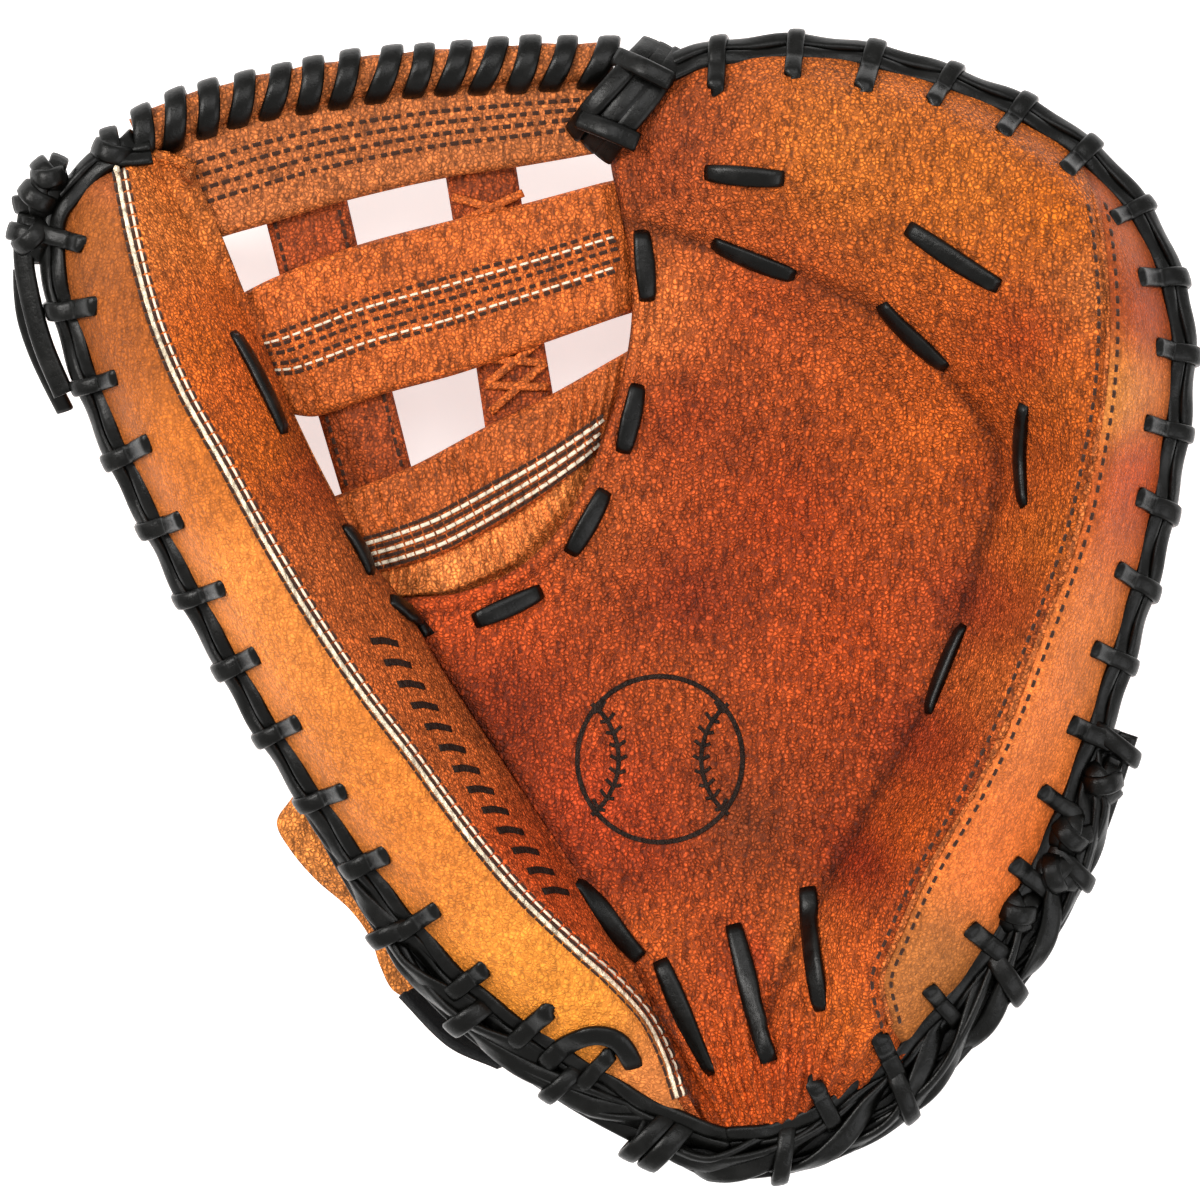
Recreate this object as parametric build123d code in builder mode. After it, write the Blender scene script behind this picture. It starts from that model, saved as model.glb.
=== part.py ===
"""A left-hand baseball catcher's mitt, lying open on its back with the palm up.

The mitt has two padded halves, one each side of a fold line: the palm half, which
holds the pocket and the four fingers, and the thumb half. Every skin, pad and strap of a
half is lofted between the same cross sections, each at its own depth under the leather's
face. Sections of the palm half are square to Y. Sections of the thumb half are square to
the fold line. All sizes are in millimetres. The mitt rests on the plane Z = 0, fingers
point along +Y, and the thumb is on the -X side.
"""
from build123d import *
from bisect import bisect_right
from math import cos, hypot, pi, radians, sin, tan
import os

# ---- Driving dimensions -------------------------------------------------------------

LEATHER = 2.2            # thickness of one leather skin
CLEAR = 0.25             # space between stacked layers
BODY_GAP = 0.45          # space each half keeps from the plane of the fold
LACE_WIDTH = 5.0         # rawhide lace
LACE_THICK = 1.8
EDGE_LOW = 44.5          # where the back's skin ends at the outer edge
EDGE_HIGH = 51.5         # where the front's skin ends at the outer edge
FOLD_Z = 46.0            # height of the fold line
FOLD_LEAN = 29           # degrees each half leans back from the fold above that line
PAD_FLOOR = 31.0         # underside of the padding, roof of the hand's space
BACK_SINK = -0.8         # the back is lofted this low, then trimmed flat at Z = 0
WEB_TOP = 44.6           # upper face of the web's bars
BAR_THICK = 3.8          # two skins of leather
POST_THICK = 3.2

FOLD_START = (25.5, -120.0)      # the fold line's two ends in plan, heel and tip
FOLD_END = (-96.0, 87.0)

# Palm half, one row per section: Y, lowest height of the back, height of the back at the
# left edge, then six (X, Z) points of the front from the left edge, over the pocket and
# up the pocket's wall to the crest of the rim and down to the outer edge. The left edge
# is the fold line up to Y = -5, and the web's opening above that.
PALM = [
    (-127, 30, 34, [(30, 47), (33, 49), (36, 50.5), (39, 51.5), (43, 52), (46.5, 51.5)]),
    (-112, 10, 16, [(21, 46), (29, 49), (37, 52), (47, 56), (58, 58), (68, 51.5)]),
    (-88, -0.8, 3, [(7, 46), (20, 46), (33, 46), (46, 50), (68, 67), (91.5, 51.5)]),
    (-60, -0.8, -0.8, [(-9.5, 46), (13, 42), (36, 41.5), (59, 46), (80, 74), (107, 51.5)]),
    (-30, -0.8, -0.8, [(-27, 46), (7, 40), (41, 39), (76, 46), (96, 78.5), (118, 51.5)]),
    (-5, -0.8, 6, [(-42, 46), (1, 39), (44, 38), (86.5, 46), (105, 80), (126, 51.5)]),
    (8, -0.8, 34, [(-26, 46), (12, 39), (51, 38), (90, 47), (110, 80), (130, 51.5)]),
    (20, -0.8, 39, [(-12, 46), (22, 40), (57, 38.5), (92, 47), (114, 80), (133, 51.5)]),
    (38, -0.8, 39, [(-1, 46), (30, 42), (62, 40), (94, 48), (117, 80), (136, 51.5)]),
    (60, -0.8, 39, [(6, 46), (30, 45), (54, 44.5), (79, 52), (119, 79), (138.5, 51.5)]),
    (82, -0.8, 39, [(6.5, 46), (23, 48), (40, 52), (75, 63), (117, 76), (134, 51.5)]),
    (102, 3, 39.5, [(3.5, 46.5), (22, 57), (48, 63), (78, 67), (107, 70), (122, 51.5)]),
    (118, 16, 40, [(4.5, 47), (18, 55), (38, 60.5), (60, 63), (84, 62), (101, 51.5)]),
    (129, 36, 42, [(13, 48), (24, 52), (36, 55), (48, 56), (60, 55), (72, 51.5)]),
]
CREST = 4                # the crest is this point of a palm row

# Thumb half, one row per section: distance along the fold line, lowest height of the
# back, height of the back at the fold, then the crest's distance from the fold and its
# height, and the outer edge's distance from the fold.
THUMB = [
    (-4, 33, 35, 2.6, 50.5, 6),
    (12, 16, 20, 3.6, 54.5, 15.5),
    (34, 2, 6, 6.5, 61, 27),
    (62, -0.8, -0.8, 11.5, 68, 37),
    (95, -0.8, -0.8, 18.5, 75, 42),
    (130, -0.8, 4, 21.5, 79.5, 44),
    (165, -0.8, 37, 22, 80, 43.5),
    (200, 1, 38, 21.5, 78, 42),
    (228, 7, 38, 18, 72, 38.5),
    (248, 18, 39, 14, 64.5, 33.5),
    (261, 32, 40, 11, 57, 24.5),
    (267, 39, 41, 8, 53.5, 15),
]
THUMB_CREST = 2          # the crest is this point of a thumb row

# Middle line of the lace round the edge, in plan: tip of the thumb to the heel, then
# heel to the crotch of the web.
THUMB_EDGE = [(-108, 110), (-117.6, 108.5), (-126, 102.5), (-132, 94), (-133.2, 82),
              (-129.6, 67.7), (-120, 41.3), (-105.6, 12.5), (-90.7, -15.1),
              (-73.9, -42.7), (-55.2, -69.1), (-33.1, -94.3), (-6, -113.5), (19, -127)]
FINGER_EDGE = [(35, -131), (48, -127.9), (62, -119), (75.6, -108.7), (98.4, -81.1),
               (115.2, -47.5), (126, -16.3), (135.6, 17.3), (141, 50.9), (140.6, 70),
               (132, 92.9), (112.8, 113.3), (84, 127.2), (52.8, 134.4), (24, 132.5),
               (10, 126)]
LOOP_STEP = 19.0         # spacing of the lace's holes round the edge
LOOP_REACH = 6.5         # how far each loop reaches in from the lace

os.makedirs("parts", exist_ok=True)


# ---- Curves -------------------------------------------------------------------------

def smooth(keys, values, t):
    """The cubic curve through values at keys, read at t. Each value is a tuple."""
    i = max(0, min(len(keys) - 2, bisect_right(keys, t) - 1))
    step = keys[i + 1] - keys[i]
    f = (t - keys[i]) / step

    def slope(j):
        a, b = max(0, j - 1), min(len(keys) - 1, j + 1)
        return [(q - p) / (keys[b] - keys[a]) for p, q in zip(values[a], values[b])]

    weights = (2 * f**3 - 3 * f**2 + 1, 3 * f**2 - 2 * f**3)
    pulls = (step * (f**3 - 2 * f**2 + f), step * (f**3 - f**2))
    parts = zip(values[i], values[i + 1], slope(i), slope(i + 1))
    return tuple(weights[0] * a + weights[1] * b + pulls[0] * c + pulls[1] * d
                 for a, b, c, d in parts)


def walk(line, spacing, start=0.0):
    """Points every `spacing` along a plan line, each with its unit direction."""
    found, travelled = [], start
    for (ax, ay), (bx, by) in zip(line, line[1:]):
        run = hypot(bx - ax, by - ay)
        while travelled < run:
            f = travelled / run
            found.append((ax + f * (bx - ax), ay + f * (by - ay),
                          (bx - ax) / run, (by - ay) / run))
            travelled += spacing
        travelled -= run
    return found


# ---- The two halves -----------------------------------------------------------------

fold_run = hypot(FOLD_END[0] - FOLD_START[0], FOLD_END[1] - FOLD_START[1])
FOLD_X = (FOLD_END[0] - FOLD_START[0]) / fold_run
FOLD_Y = (FOLD_END[1] - FOLD_START[1]) / fold_run


def fold_frame(x, y):
    """Distance along the fold line, and distance from it towards the thumb's side."""
    dx, dy = x - FOLD_START[0], y - FOLD_START[1]
    return dx * FOLD_X + dy * FOLD_Y, -dx * FOLD_Y + dy * FOLD_X


def plan(u, v):
    """The plan point that fold_frame reads as (u, v)."""
    return (FOLD_START[0] + u * FOLD_X - v * FOLD_Y,
            FOLD_START[1] + u * FOLD_Y + v * FOLD_X)


def palm_plane(y):
    return Plane.XZ.offset(-y)


def thumb_plane(u):
    x, y = plan(u, 0)
    return Plane((x, y, 0), x_dir=(-FOLD_Y, FOLD_X, 0), z_dir=(FOLD_X, FOLD_Y, 0))


def palm_front(y):
    """The six points of the palm half's front at Y = y."""
    keys = [row[0] for row in PALM]
    flat = smooth(keys, [sum(row[3], ()) for row in PALM], y)
    points = list(zip(flat[0::2], flat[1::2]))
    fold_x = plan(0, -BODY_GAP)[0] + (y - plan(0, -BODY_GAP)[1]) * FOLD_X / FOLD_Y
    if points[0][0] < fold_x:
        points[0] = (fold_x, points[0][1])
    return points


def thumb_front(u):
    """The five points of the thumb half's front at distance u along the fold."""
    keys = [row[0] for row in THUMB]
    crest, crest_z, edge = smooth(keys, [row[3:] for row in THUMB], u)
    rise, fall = crest_z - FOLD_Z, crest_z - EDGE_HIGH
    return [(BODY_GAP, FOLD_Z), (0.5 * crest, FOLD_Z + 0.62 * rise), (crest, crest_z),
            (crest + 0.6 * (edge - crest), EDGE_HIGH + 0.7 * fall), (edge, EDGE_HIGH)]


def back_height(low, left, f):
    """Height of the back at fraction f from the left edge (0) to the outer edge (1)."""
    end = left if f < 0.5 else EDGE_LOW
    return low + (end - low) * abs(2 * f - 1) ** 3


def back_points(rows, front, t):
    """Points of the back's outside, left to right, for the section at t."""
    keys = [row[0] for row in rows]
    low, left = smooth(keys, [row[1:3] for row in rows], t)
    low = max(low, BACK_SINK)
    x0, x1 = front[0][0], front[-1][0]
    fractions = (0, 0.06, 0.15, 0.3, 0.5, 0.7, 0.85, 0.94, 1)
    return [(x0 + f * (x1 - x0), back_height(low, max(left, low), f)) for f in fractions]


def sunk(points, depth, start, stop, count):
    """`count` points of the curve through points, `depth` to its right-hand side."""
    keys = list(range(len(points)))
    found = []
    for k in range(count):
        s = start + (stop - start) * k / (count - 1)
        x, z = smooth(keys, points, s)
        ax, az = smooth(keys, points, max(0, s - 0.05))
        bx, bz = smooth(keys, points, min(keys[-1], s + 0.05))
        run = hypot(bx - ax, bz - az)
        found.append((x + depth * (bz - az) / run, z - depth * (bx - ax) / run))
    return found


class Half:
    """One half of the mitt: its rows, its section planes and its front's points."""

    def __init__(self, rows, plane, front, side):
        self.rows, self.plane, self.front = rows, plane, front
        x, y = plan(0, side * BODY_GAP)
        self.fold_face = Plane((x, y, 0), z_dir=(-side * FOLD_Y, side * FOLD_X, 0))
        # Above the fold line each half leans back, so that the two close like a book.
        away, down = cos(radians(FOLD_LEAN)), -sin(radians(FOLD_LEAN))
        self.lean_face = Plane((x, y, FOLD_Z), z_dir=(-side * FOLD_Y * away,
                                                      side * FOLD_X * away, down))

    def stations(self, low, high):
        inside = [row[0] for row in self.rows if low < row[0] < high]
        return [low, *inside, high]

    def back(self, t):
        return back_points(self.rows, self.front(t), t)


palm = Half(PALM, palm_plane, palm_front, -1)
thumb = Half(THUMB, thumb_plane, thumb_front, 1)


def front_height(x, y):
    """Height of the front's face over a plan point."""
    u, v = fold_frame(x, y)
    across, points = (v, thumb_front(u)) if v > 0 else (x, palm_front(y))
    keys = list(range(len(points)))
    low, high = 0.0, float(keys[-1])
    for _ in range(24):
        middle = (low + high) / 2
        if smooth(keys, points, middle)[0] < across:
            low = middle
        else:
            high = middle
    return smooth(keys, points, low)[1]


# ---- Builders -----------------------------------------------------------------------

def save(name, label):
    name.part.label = label
    export_step(name.part, f"parts/{label}.step")


def lofted(sections):
    """A solid through sections, each a plane with its upper and its lower points."""
    with BuildPart() as piece:
        for plane, upper, lower in sections:
            with BuildSketch(plane):
                with BuildLine():
                    Spline(*upper)
                    Line(upper[-1], lower[-1])
                    Spline(*lower)
                    Line(lower[0], upper[0])
                make_face()
        loft()
    return piece


def trimmed(piece, half, flat=False):
    """The piece cut back to its own side of the fold, and to Z = 0 if it lies flat."""
    with BuildPart() as cut:
        add(piece.part)
        split(bisect_by=half.fold_face)
        split(bisect_by=half.lean_face)
        if flat:
            split(bisect_by=Plane.XY)
    return cut


def front_layer(half, start, stop, low, high, depth=0.0, thick=LEATHER):
    """A skin under the front's face, from point `start` to point `stop` of each row."""
    count = max(3, round(2 * (stop - start)) + 1)
    sections = []
    for t in half.stations(low, high):
        points = half.front(t)
        sections.append((half.plane(t), sunk(points, depth, start, stop, count),
                         sunk(points, depth + thick, start, stop, count)))
    return trimmed(lofted(sections), half)


def back_layer(half, low, high, depth=0.0, thick=LEATHER, start=0.0, stop=8.0):
    """A skin inside the back's outside, trimmed to lie flat on Z = 0."""
    sections = []
    for t in half.stations(low, high):
        points = half.back(t)
        sections.append((half.plane(t), sunk(points, -depth - thick, start, stop, 9),
                         sunk(points, -depth, start, stop, 9)))
    return trimmed(lofted(sections), half, flat=True)


def pad(half, start, stop, low, high, floor):
    """Padding from under the front's skin down to the floor that `floor` gives."""
    sections = []
    for t in half.stations(low, high):
        points = half.front(t)
        upper = sunk(points, LEATHER + 2 * CLEAR, start, stop, 9)
        lower = [(x, min(z - 1.5, floor(t, x))) for x, z in upper]
        sections.append((half.plane(t), upper, lower))
    return trimmed(lofted(sections), half)


def ribbon(stops, width, thick):
    """A flat strap through points, each given with the side its face looks to."""
    with BuildPart() as strap:
        for i, (point, up) in enumerate(stops):
            ahead = Vector(*stops[min(i + 1, len(stops) - 1)][0])
            behind = Vector(*stops[max(i - 1, 0)][0])
            tangent = (ahead - behind).normalized()
            side = tangent.cross(Vector(*up)).normalized()
            with BuildSketch(Plane(point, x_dir=side, z_dir=tangent)):
                Rectangle(width, thick)
        loft(ruled=True)
    return strap


def group(straps):
    """Several straps as one node of separate solids."""
    with BuildPart() as joined:
        for strap in straps:
            add(strap.part)
    return joined


def face_normal(x, y):
    """Which way the front's face looks over a plan point."""
    h = 1.0
    rise_x = (front_height(x + h, y) - front_height(x - h, y)) / (2 * h)
    rise_y = (front_height(x, y + h) - front_height(x, y - h)) / (2 * h)
    return Vector(-rise_x, -rise_y, 1).normalized()


def stitch(start, end, width=LACE_WIDTH, stops=4):
    """A lace lying on the front's face between two holes."""
    points = []
    for k in range(stops):
        f = k / (stops - 1)
        x = start[0] + f * (end[0] - start[0])
        y = start[1] + f * (end[1] - start[1])
        up = face_normal(x, y)
        place = Vector(x, y, front_height(x, y)) + up * (LACE_THICK / 2)
        points.append((tuple(place), tuple(up)))
    return ribbon(points, width, LACE_THICK)


def edge_strap(line, width, height, z, shift=0.0):
    """A lace laid along a plan line, standing `height` tall about z."""
    stops = []
    for i, (x, y) in enumerate(line):
        ax, ay = line[max(0, i - 1)]
        bx, by = line[min(len(line) - 1, i + 1)]
        run = hypot(bx - ax, by - ay)
        stops.append(((x - shift * (by - ay) / run, y + shift * (bx - ax) / run, z),
                      (0, 0, 1)))
    return ribbon(stops, width, height)


def edge_loops(line, inward, start):
    """The short loops that take the edge lace over the rim and through its holes."""
    loops = []
    for x, y, dx, dy in walk(line, LOOP_STEP, start):
        tip = (x - inward * dy * LOOP_REACH, y + inward * dx * LOOP_REACH)
        up = face_normal(*tip)
        outer = Vector(x, y, EDGE_HIGH + LACE_THICK / 2)
        inner = Vector(*tip, front_height(*tip)) + up * (LACE_THICK / 2)
        tilt = (inner - outer).cross(Vector(dx, dy, 0)) * -inward
        loops.append(ribbon([(tuple(outer), tuple(tilt)), (tuple(inner), tuple(tilt))],
                            4.0, LACE_THICK))
    return group(loops)


def plate(outline, low, high):
    """A flat piece of leather with a straight-sided outline."""
    with BuildPart() as piece:
        with BuildSketch(Plane.XY.offset(low)):
            with BuildLine():
                Polyline(*outline, close=True)
            make_face()
        extrude(amount=high - low)
    return piece


def stall(base, tip, width, height, wall=1.3):
    """A finger's pocket: a flattened leather tube, open at its base."""
    axis = Vector(*tip) - Vector(*base)
    side = axis.cross(Vector(0, 0, 1)).normalized()
    start = Plane(base, x_dir=side, z_dir=axis)
    with BuildPart() as tube:
        with BuildSketch(start):
            Ellipse(width / 2, height / 2)
        extrude(amount=axis.length)
        with BuildSketch(start):
            Ellipse(width / 2 - wall, height / 2 - wall)
        extrude(amount=axis.length - 3, mode=Mode.SUBTRACT)
    return tube


def bead(x, y, z, size):
    """One turn of a lace knot."""
    with BuildPart() as turn:
        with BuildSketch(Plane.XY.offset(z - size[2] / 2)):
            with Locations((x, y)):
                RectangleRounded(size[0], size[1], min(size[:2]) * 0.35, rotation=size[3])
        extrude(amount=size[2])
        fillet(turn.edges().group_by(Axis.Z)[-1], 1.0)
    return turn


# ---- Front skins and padding --------------------------------------------------------

HEEL, TOP = PALM[0][0], PALM[-1][0]
THUMB_HEEL, THUMB_TIP = THUMB[0][0], THUMB[-1][0]
SEAM = 0.03              # half the slit between two skins that are sewn along a crest

save(front_layer(palm, 0, CREST - SEAM, HEEL, TOP), "pocket_leather")
save(front_layer(palm, CREST + SEAM, 5, HEEL, TOP), "finger_rim_leather")
save(front_layer(thumb, 0, THUMB_CREST - SEAM, THUMB_HEEL, THUMB_TIP), "thumb_panel_leather")
save(front_layer(thumb, THUMB_CREST + SEAM, 4, THUMB_HEEL, THUMB_TIP), "thumb_rim_leather")


def palm_floor(y, x):
    """Underside of the palm's padding, which rises to both edges."""
    x0, x1 = palm_front(y)[0][0], palm_front(y)[-1][0]
    f = (x - x0) / (x1 - x0)
    left = 41.5 if y > 0 else PAD_FLOOR
    end = left if f < 0.5 else EDGE_HIGH - LEATHER - CLEAR
    return PAD_FLOOR + (end - PAD_FLOOR) * max(0, abs(2 * f - 1) - 0.4) / 0.6


def thumb_floor(u, v):
    """Underside of the thumb's padding, which rises to both edges."""
    edge = thumb_front(u)[-1][0]
    f = v / edge
    left = PAD_FLOOR if u < 140 else 42
    end = left if f < 0.5 else EDGE_HIGH - LEATHER - CLEAR
    return PAD_FLOOR + (end - PAD_FLOOR) * max(0, abs(2 * f - 1) - 0.4) / 0.6


PAD_SETBACK = 6          # the padding stops this far inside the skins' ends
THUMB_PAD_HEEL, THUMB_PAD_TIP = 40, 244
save(pad(palm, 0.05, CREST - 0.08, HEEL + PAD_SETBACK, TOP - PAD_SETBACK, palm_floor),
     "palm_pad")
save(pad(palm, CREST + 0.08, 4.9, HEEL + PAD_SETBACK, TOP - PAD_SETBACK, palm_floor),
     "finger_pad")
save(pad(thumb, 0.4, 3.6, THUMB_PAD_HEEL, THUMB_PAD_TIP, thumb_floor), "thumb_pad")


def crest_line(half, index, low, high, lift):
    """Stops of a strip that rides on the crest of a half."""
    stops = []
    for t in half.stations(low, high):
        x, z = half.front(t)[index]
        stops.append((tuple(half.plane(t).from_local_coords(Vector(x, z + lift, 0))),
                      (0, 0, 1)))
    return stops


save(ribbon(crest_line(palm, CREST, -100, 102, 0.5), 2.4, 1.4), "finger_rim_welt")
save(ribbon(crest_line(thumb, THUMB_CREST, 4, 258, 0.6), 2.4, 1.6), "thumb_piping")

# ---- Inside the hand's space --------------------------------------------------------

LINING_THICK = 1.3
lining_top = PAD_FLOOR - 1
lining_outline = [(38, -112), (58, -100), (78, -78), (94, -40), (104, 0), (110, 40),
                  (108, 72), (92, 94), (60, 104), (30, 100), (22, 70), (16, 40),
                  (4, 18), (-22, -4), (-32, -10), (-20, -34), (-4, -62), (14, -92)]
save(plate(lining_outline, lining_top - LINING_THICK, lining_top), "palm_lining")

STALL_Z = 15.5           # middle of the finger stalls
STALL_TALL = 18.0
STALL_BASE_Y = 4.0
fingers = [("index_stall", 42, 72, 17, STALL_TALL), ("middle_stall", 60, 88, 17, STALL_TALL),
           ("ring_stall", 77.5, 78, 16.5, STALL_TALL), ("little_stall", 92.5, 54, 13, 15)]
for label, x, tip_y, width, height in fingers:
    middle = STALL_Z + (STALL_TALL - height) / 2
    save(stall((x, STALL_BASE_Y, middle), (x, tip_y, middle), width, height), label)

thumb_base, thumb_end = plan(78, 19.5), plan(152, 22)
save(stall((*thumb_base, STALL_Z + 0.5), (*thumb_end, STALL_Z + 1.5), 22, STALL_TALL + 1),
     "thumb_stall")

# Loops of thin leather that draw the little finger and the thumb to the padding.
LOOP_RADIUS, LOOP_THICK, LOOP_WIDTH = 10.0, 1.2, 12.0


def finger_loop(x, y, direction):
    """A half ring of leather that hangs from the lining across a finger."""
    height = lining_top - LINING_THICK - CLEAR
    across = (-direction[1], direction[0], 0)
    with BuildPart() as loop:
        with BuildSketch(Plane((x, y, height), x_dir=across, z_dir=(*direction, 0))):
            Circle(LOOP_RADIUS)
            Circle(LOOP_RADIUS - LOOP_THICK, mode=Mode.SUBTRACT)
            with Locations((0, LOOP_RADIUS)):
                Rectangle(3 * LOOP_RADIUS, 2 * LOOP_RADIUS, mode=Mode.SUBTRACT)
        extrude(amount=LOOP_WIDTH / 2, both=True)
    return loop


save(finger_loop(82, -26, (0, 1)), "little_finger_loop")

# ---- Back skins and wrist -----------------------------------------------------------

BACK_START = -44.0       # lower end of the closed back over the fingers
BAND_LOW, BAND_HIGH = -108.0, -84.0
save(back_layer(palm, BACK_START, TOP), "finger_back")
save(back_layer(thumb, 54, THUMB_TIP), "thumb_back")
save(back_layer(palm, BAND_LOW, BAND_HIGH), "wrist_band")
save(back_layer(palm, BAND_LOW + 2, BAND_HIGH - 2, LEATHER + CLEAR, 3.0, 0.3, 7.2),
     "wrist_fleece")
save(back_layer(thumb, 22, 46), "thumb_wrist_band")
save(back_layer(thumb, 24, 44, LEATHER + CLEAR, 3.0, 0.4, 7.0), "thumb_fleece")


def band_edge(half, t, shift, start, stop):
    """Stops of a bound edge that follows the back's outside at a band's end."""
    stops = []
    points = sunk(half.back(t), -LEATHER / 2, start, stop, 9)
    inner = sunk(half.back(t), -LEATHER / 2 - 1, start, stop, 9)
    plane = half.plane(t + shift)
    for (x, z), (ix, iz) in zip(points, inner):
        place = plane.from_local_coords(Vector(x, max(z, 1.6), 0))
        up = plane.from_local_coords(Vector(ix - x, iz - z, 0)) - plane.origin
        stops.append((tuple(place), tuple(up)))
    return stops


save(ribbon(band_edge(palm, BAND_LOW, -1.6, 0.2, 7.8), 3.0, 3.2), "wrist_binding")

# The tan end of the wrist strap, which flares out past the thumb's edge.
tab_rows = [(72, 33, 30), (58, 31, 30), (40, 24, 26), (26, 17, 24)]
tab_stops = []
for u, v, z in tab_rows:
    x, y = plan(u, v + 8)
    tab_stops.append(((x, y, z), (-0.3 * FOLD_Y, 0.3 * FOLD_X, 1)))
save(ribbon(tab_stops, 17, 2.6), "thumb_wrist_tab")

# ---- Web ----------------------------------------------------------------------------

bar_low = WEB_TOP - BAR_THICK
save(plate([(-97, 98), (-89.5, 88), (-81, 90), (-61, 95.5), (-37, 100.5), (-20, 103.5),
            (0.5, 107), (1.5, 121), (-36, 119), (-60, 116.5), (-84, 112.5), (-103, 108)],
           bar_low, WEB_TOP), "web_top_bar")
save(plate([(-70.8, 46.2), (-51.8, 50.4), (-33.6, 55.4), (-17.5, 61.2), (4.4, 69.2),
            (3.6, 100), (-21.4, 95), (-38.4, 91.2), (-60.5, 85.2), (-78.5, 78.5),
            (-87.6, 74.5)], bar_low, WEB_TOP), "web_middle_bar")
save(plate([(-49.5, 10), (-36, 13.5), (-19.2, 22.5), (-5, 35), (2.8, 61), (-12.7, 49.7),
            (-28.3, 42), (-46.3, 32.4), (-61, 28)], bar_low, WEB_TOP), "web_lower_bar")
save(plate([(-47.8, 6), (-45, 3.5), (-32, 5.5), (-20, 11), (-11, 19), (-5.5, 28),
            (-5.6, 32.5), (-18.4, 20.6), (-35, 12), (-47.5, 8.6)], bar_low - 0.4,
           WEB_TOP - 0.4), "web_crescent")
post_high = bar_low - CLEAR
save(plate([(-84, 88), (-64, 92), (-47, 30), (-59, 27)], post_high - POST_THICK, post_high),
     "web_thumb_post")
save(plate([(-38, 99), (-21, 102), (-13.5, 49), (-29, 41)], post_high - POST_THICK,
           post_high), "web_finger_post")

# The rolled binding along the web's top edge, and the lace wound round it.
binding_line = [(-104, 112.5), (-84, 117), (-60, 121), (-36, 123.5), (-1, 125.8)]
BINDING_Z = WEB_TOP - 1.5
save(edge_strap(binding_line, 8.0, 8.0, BINDING_Z), "web_top_binding")

WRAP_COUNT = 14
wraps = []
wrap_step = 103.5 / WRAP_COUNT
for x, y, dx, dy in walk(binding_line, wrap_step, wrap_step / 2)[:WRAP_COUNT]:
    slant = Vector(dx, dy, 0) + Vector(-dy, dx, 0) * 0.35
    with BuildPart() as wrap:
        with BuildSketch(Plane((x, y, BINDING_Z), x_dir=(-dy, dx, 0), z_dir=slant)):
            RectangleRounded(12.4, 12.0, 2.5)
            RectangleRounded(8.8, 8.4, 1.0, mode=Mode.SUBTRACT)
        extrude(amount=2.1, both=True)
    wraps.append(wrap)
save(group(wraps), "web_top_lace")

# ---- Laces that lie on the front's face ---------------------------------------------

save(group([stitch((10.2, 88), (11.4, 73)), stitch((9.4, 51), (6.2, 38)),
            stitch((1, 25.5), (-6, 12.5)), stitch((-28, -4), (-14, 2))]), "web_palm_lace")
save(group([stitch((26.2, 102.5), (43, 101)), stitch((74, 88.5), (93.6, 75.4)),
            stitch((28, 85.9), (46, 79)), stitch((68, 70.6), (82.3, 57.1))]),
     "pocket_lace")
save(group([stitch((101, 46.3), (101.3, 23.8)), stitch((87.6, -5.8), (79.2, -26.6), 3)]),
     "finger_anchor_lace")
save(group([stitch((3.4, -70), (13.9, -84.7)), stitch((14.9, -87.1), (26.4, -112.8)),
            stitch((32.6, -78.9), (40.3, -109)), stitch((49.9, -69.8), (52.6, -96.9))]),
     "heel_anchor_lace")
save(group([stitch((-89.4, 62), (-78, 40.3)), stitch((-64, 19), (-57, 7)),
            stitch((-54, -2), (-47, -10), 4, 3)]), "web_thumb_lace")

crotch = [((-1, 112, 48.5), (0, 0, 1)), ((4, 119, 51.5), (0, 0, 1)),
          ((10, 126, 51), (0, 0.3, 1)), ((15, 131, 48), (0, 0.6, 1))]
save(ribbon(crotch, 13, 3.4), "crotch_lace")

# ---- Lace round the edge ------------------------------------------------------------

EDGE_Z = (EDGE_LOW + EDGE_HIGH) / 2
EDGE_TALL = 5.2
EDGE_WIDE = 5.6
save(edge_strap(THUMB_EDGE, EDGE_WIDE, EDGE_TALL, EDGE_Z), "thumb_edge_lace")
save(edge_strap(FINGER_EDGE, EDGE_WIDE, EDGE_TALL, EDGE_Z), "finger_edge_lace")
save(edge_loops(THUMB_EDGE[3:-1], -1, 6), "thumb_edge_loops")
save(edge_loops(FINGER_EDGE[3:-1], 1, 4), "finger_edge_loops")

# The bundle of laces across the heel, in two parts that meet at the fold.
heel_left = [(-52, -76.5), (-34, -97.8), (-8, -116.5), (15, -128.5)]
heel_right = [(36, -134.5), (52, -130), (70, -117.5), (84, -104.5), (98, -86)]
heel_drop = EDGE_TALL + CLEAR
save(edge_strap(heel_left, EDGE_WIDE, EDGE_TALL, EDGE_Z - heel_drop), "thumb_heel_lace")
save(edge_strap(heel_right, EDGE_WIDE, EDGE_TALL, EDGE_Z - heel_drop), "heel_lace")

save(group([bead(108.5, -67.5, EDGE_Z - 1, (9, 13, 8, -25)),
            bead(120.6, -38.5, EDGE_Z - 1, (8, 12, 8, -20))]), "finger_knot")
save(group([bead(-135.6, 97.5, EDGE_Z, (7, 15, 8, 18)),
            bead(-137.4, 84.6, EDGE_Z, (7.5, 9, 8, -4))]), "thumb_tip_knot")

# ---- The loose end of the edge lace -------------------------------------------------

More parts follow.
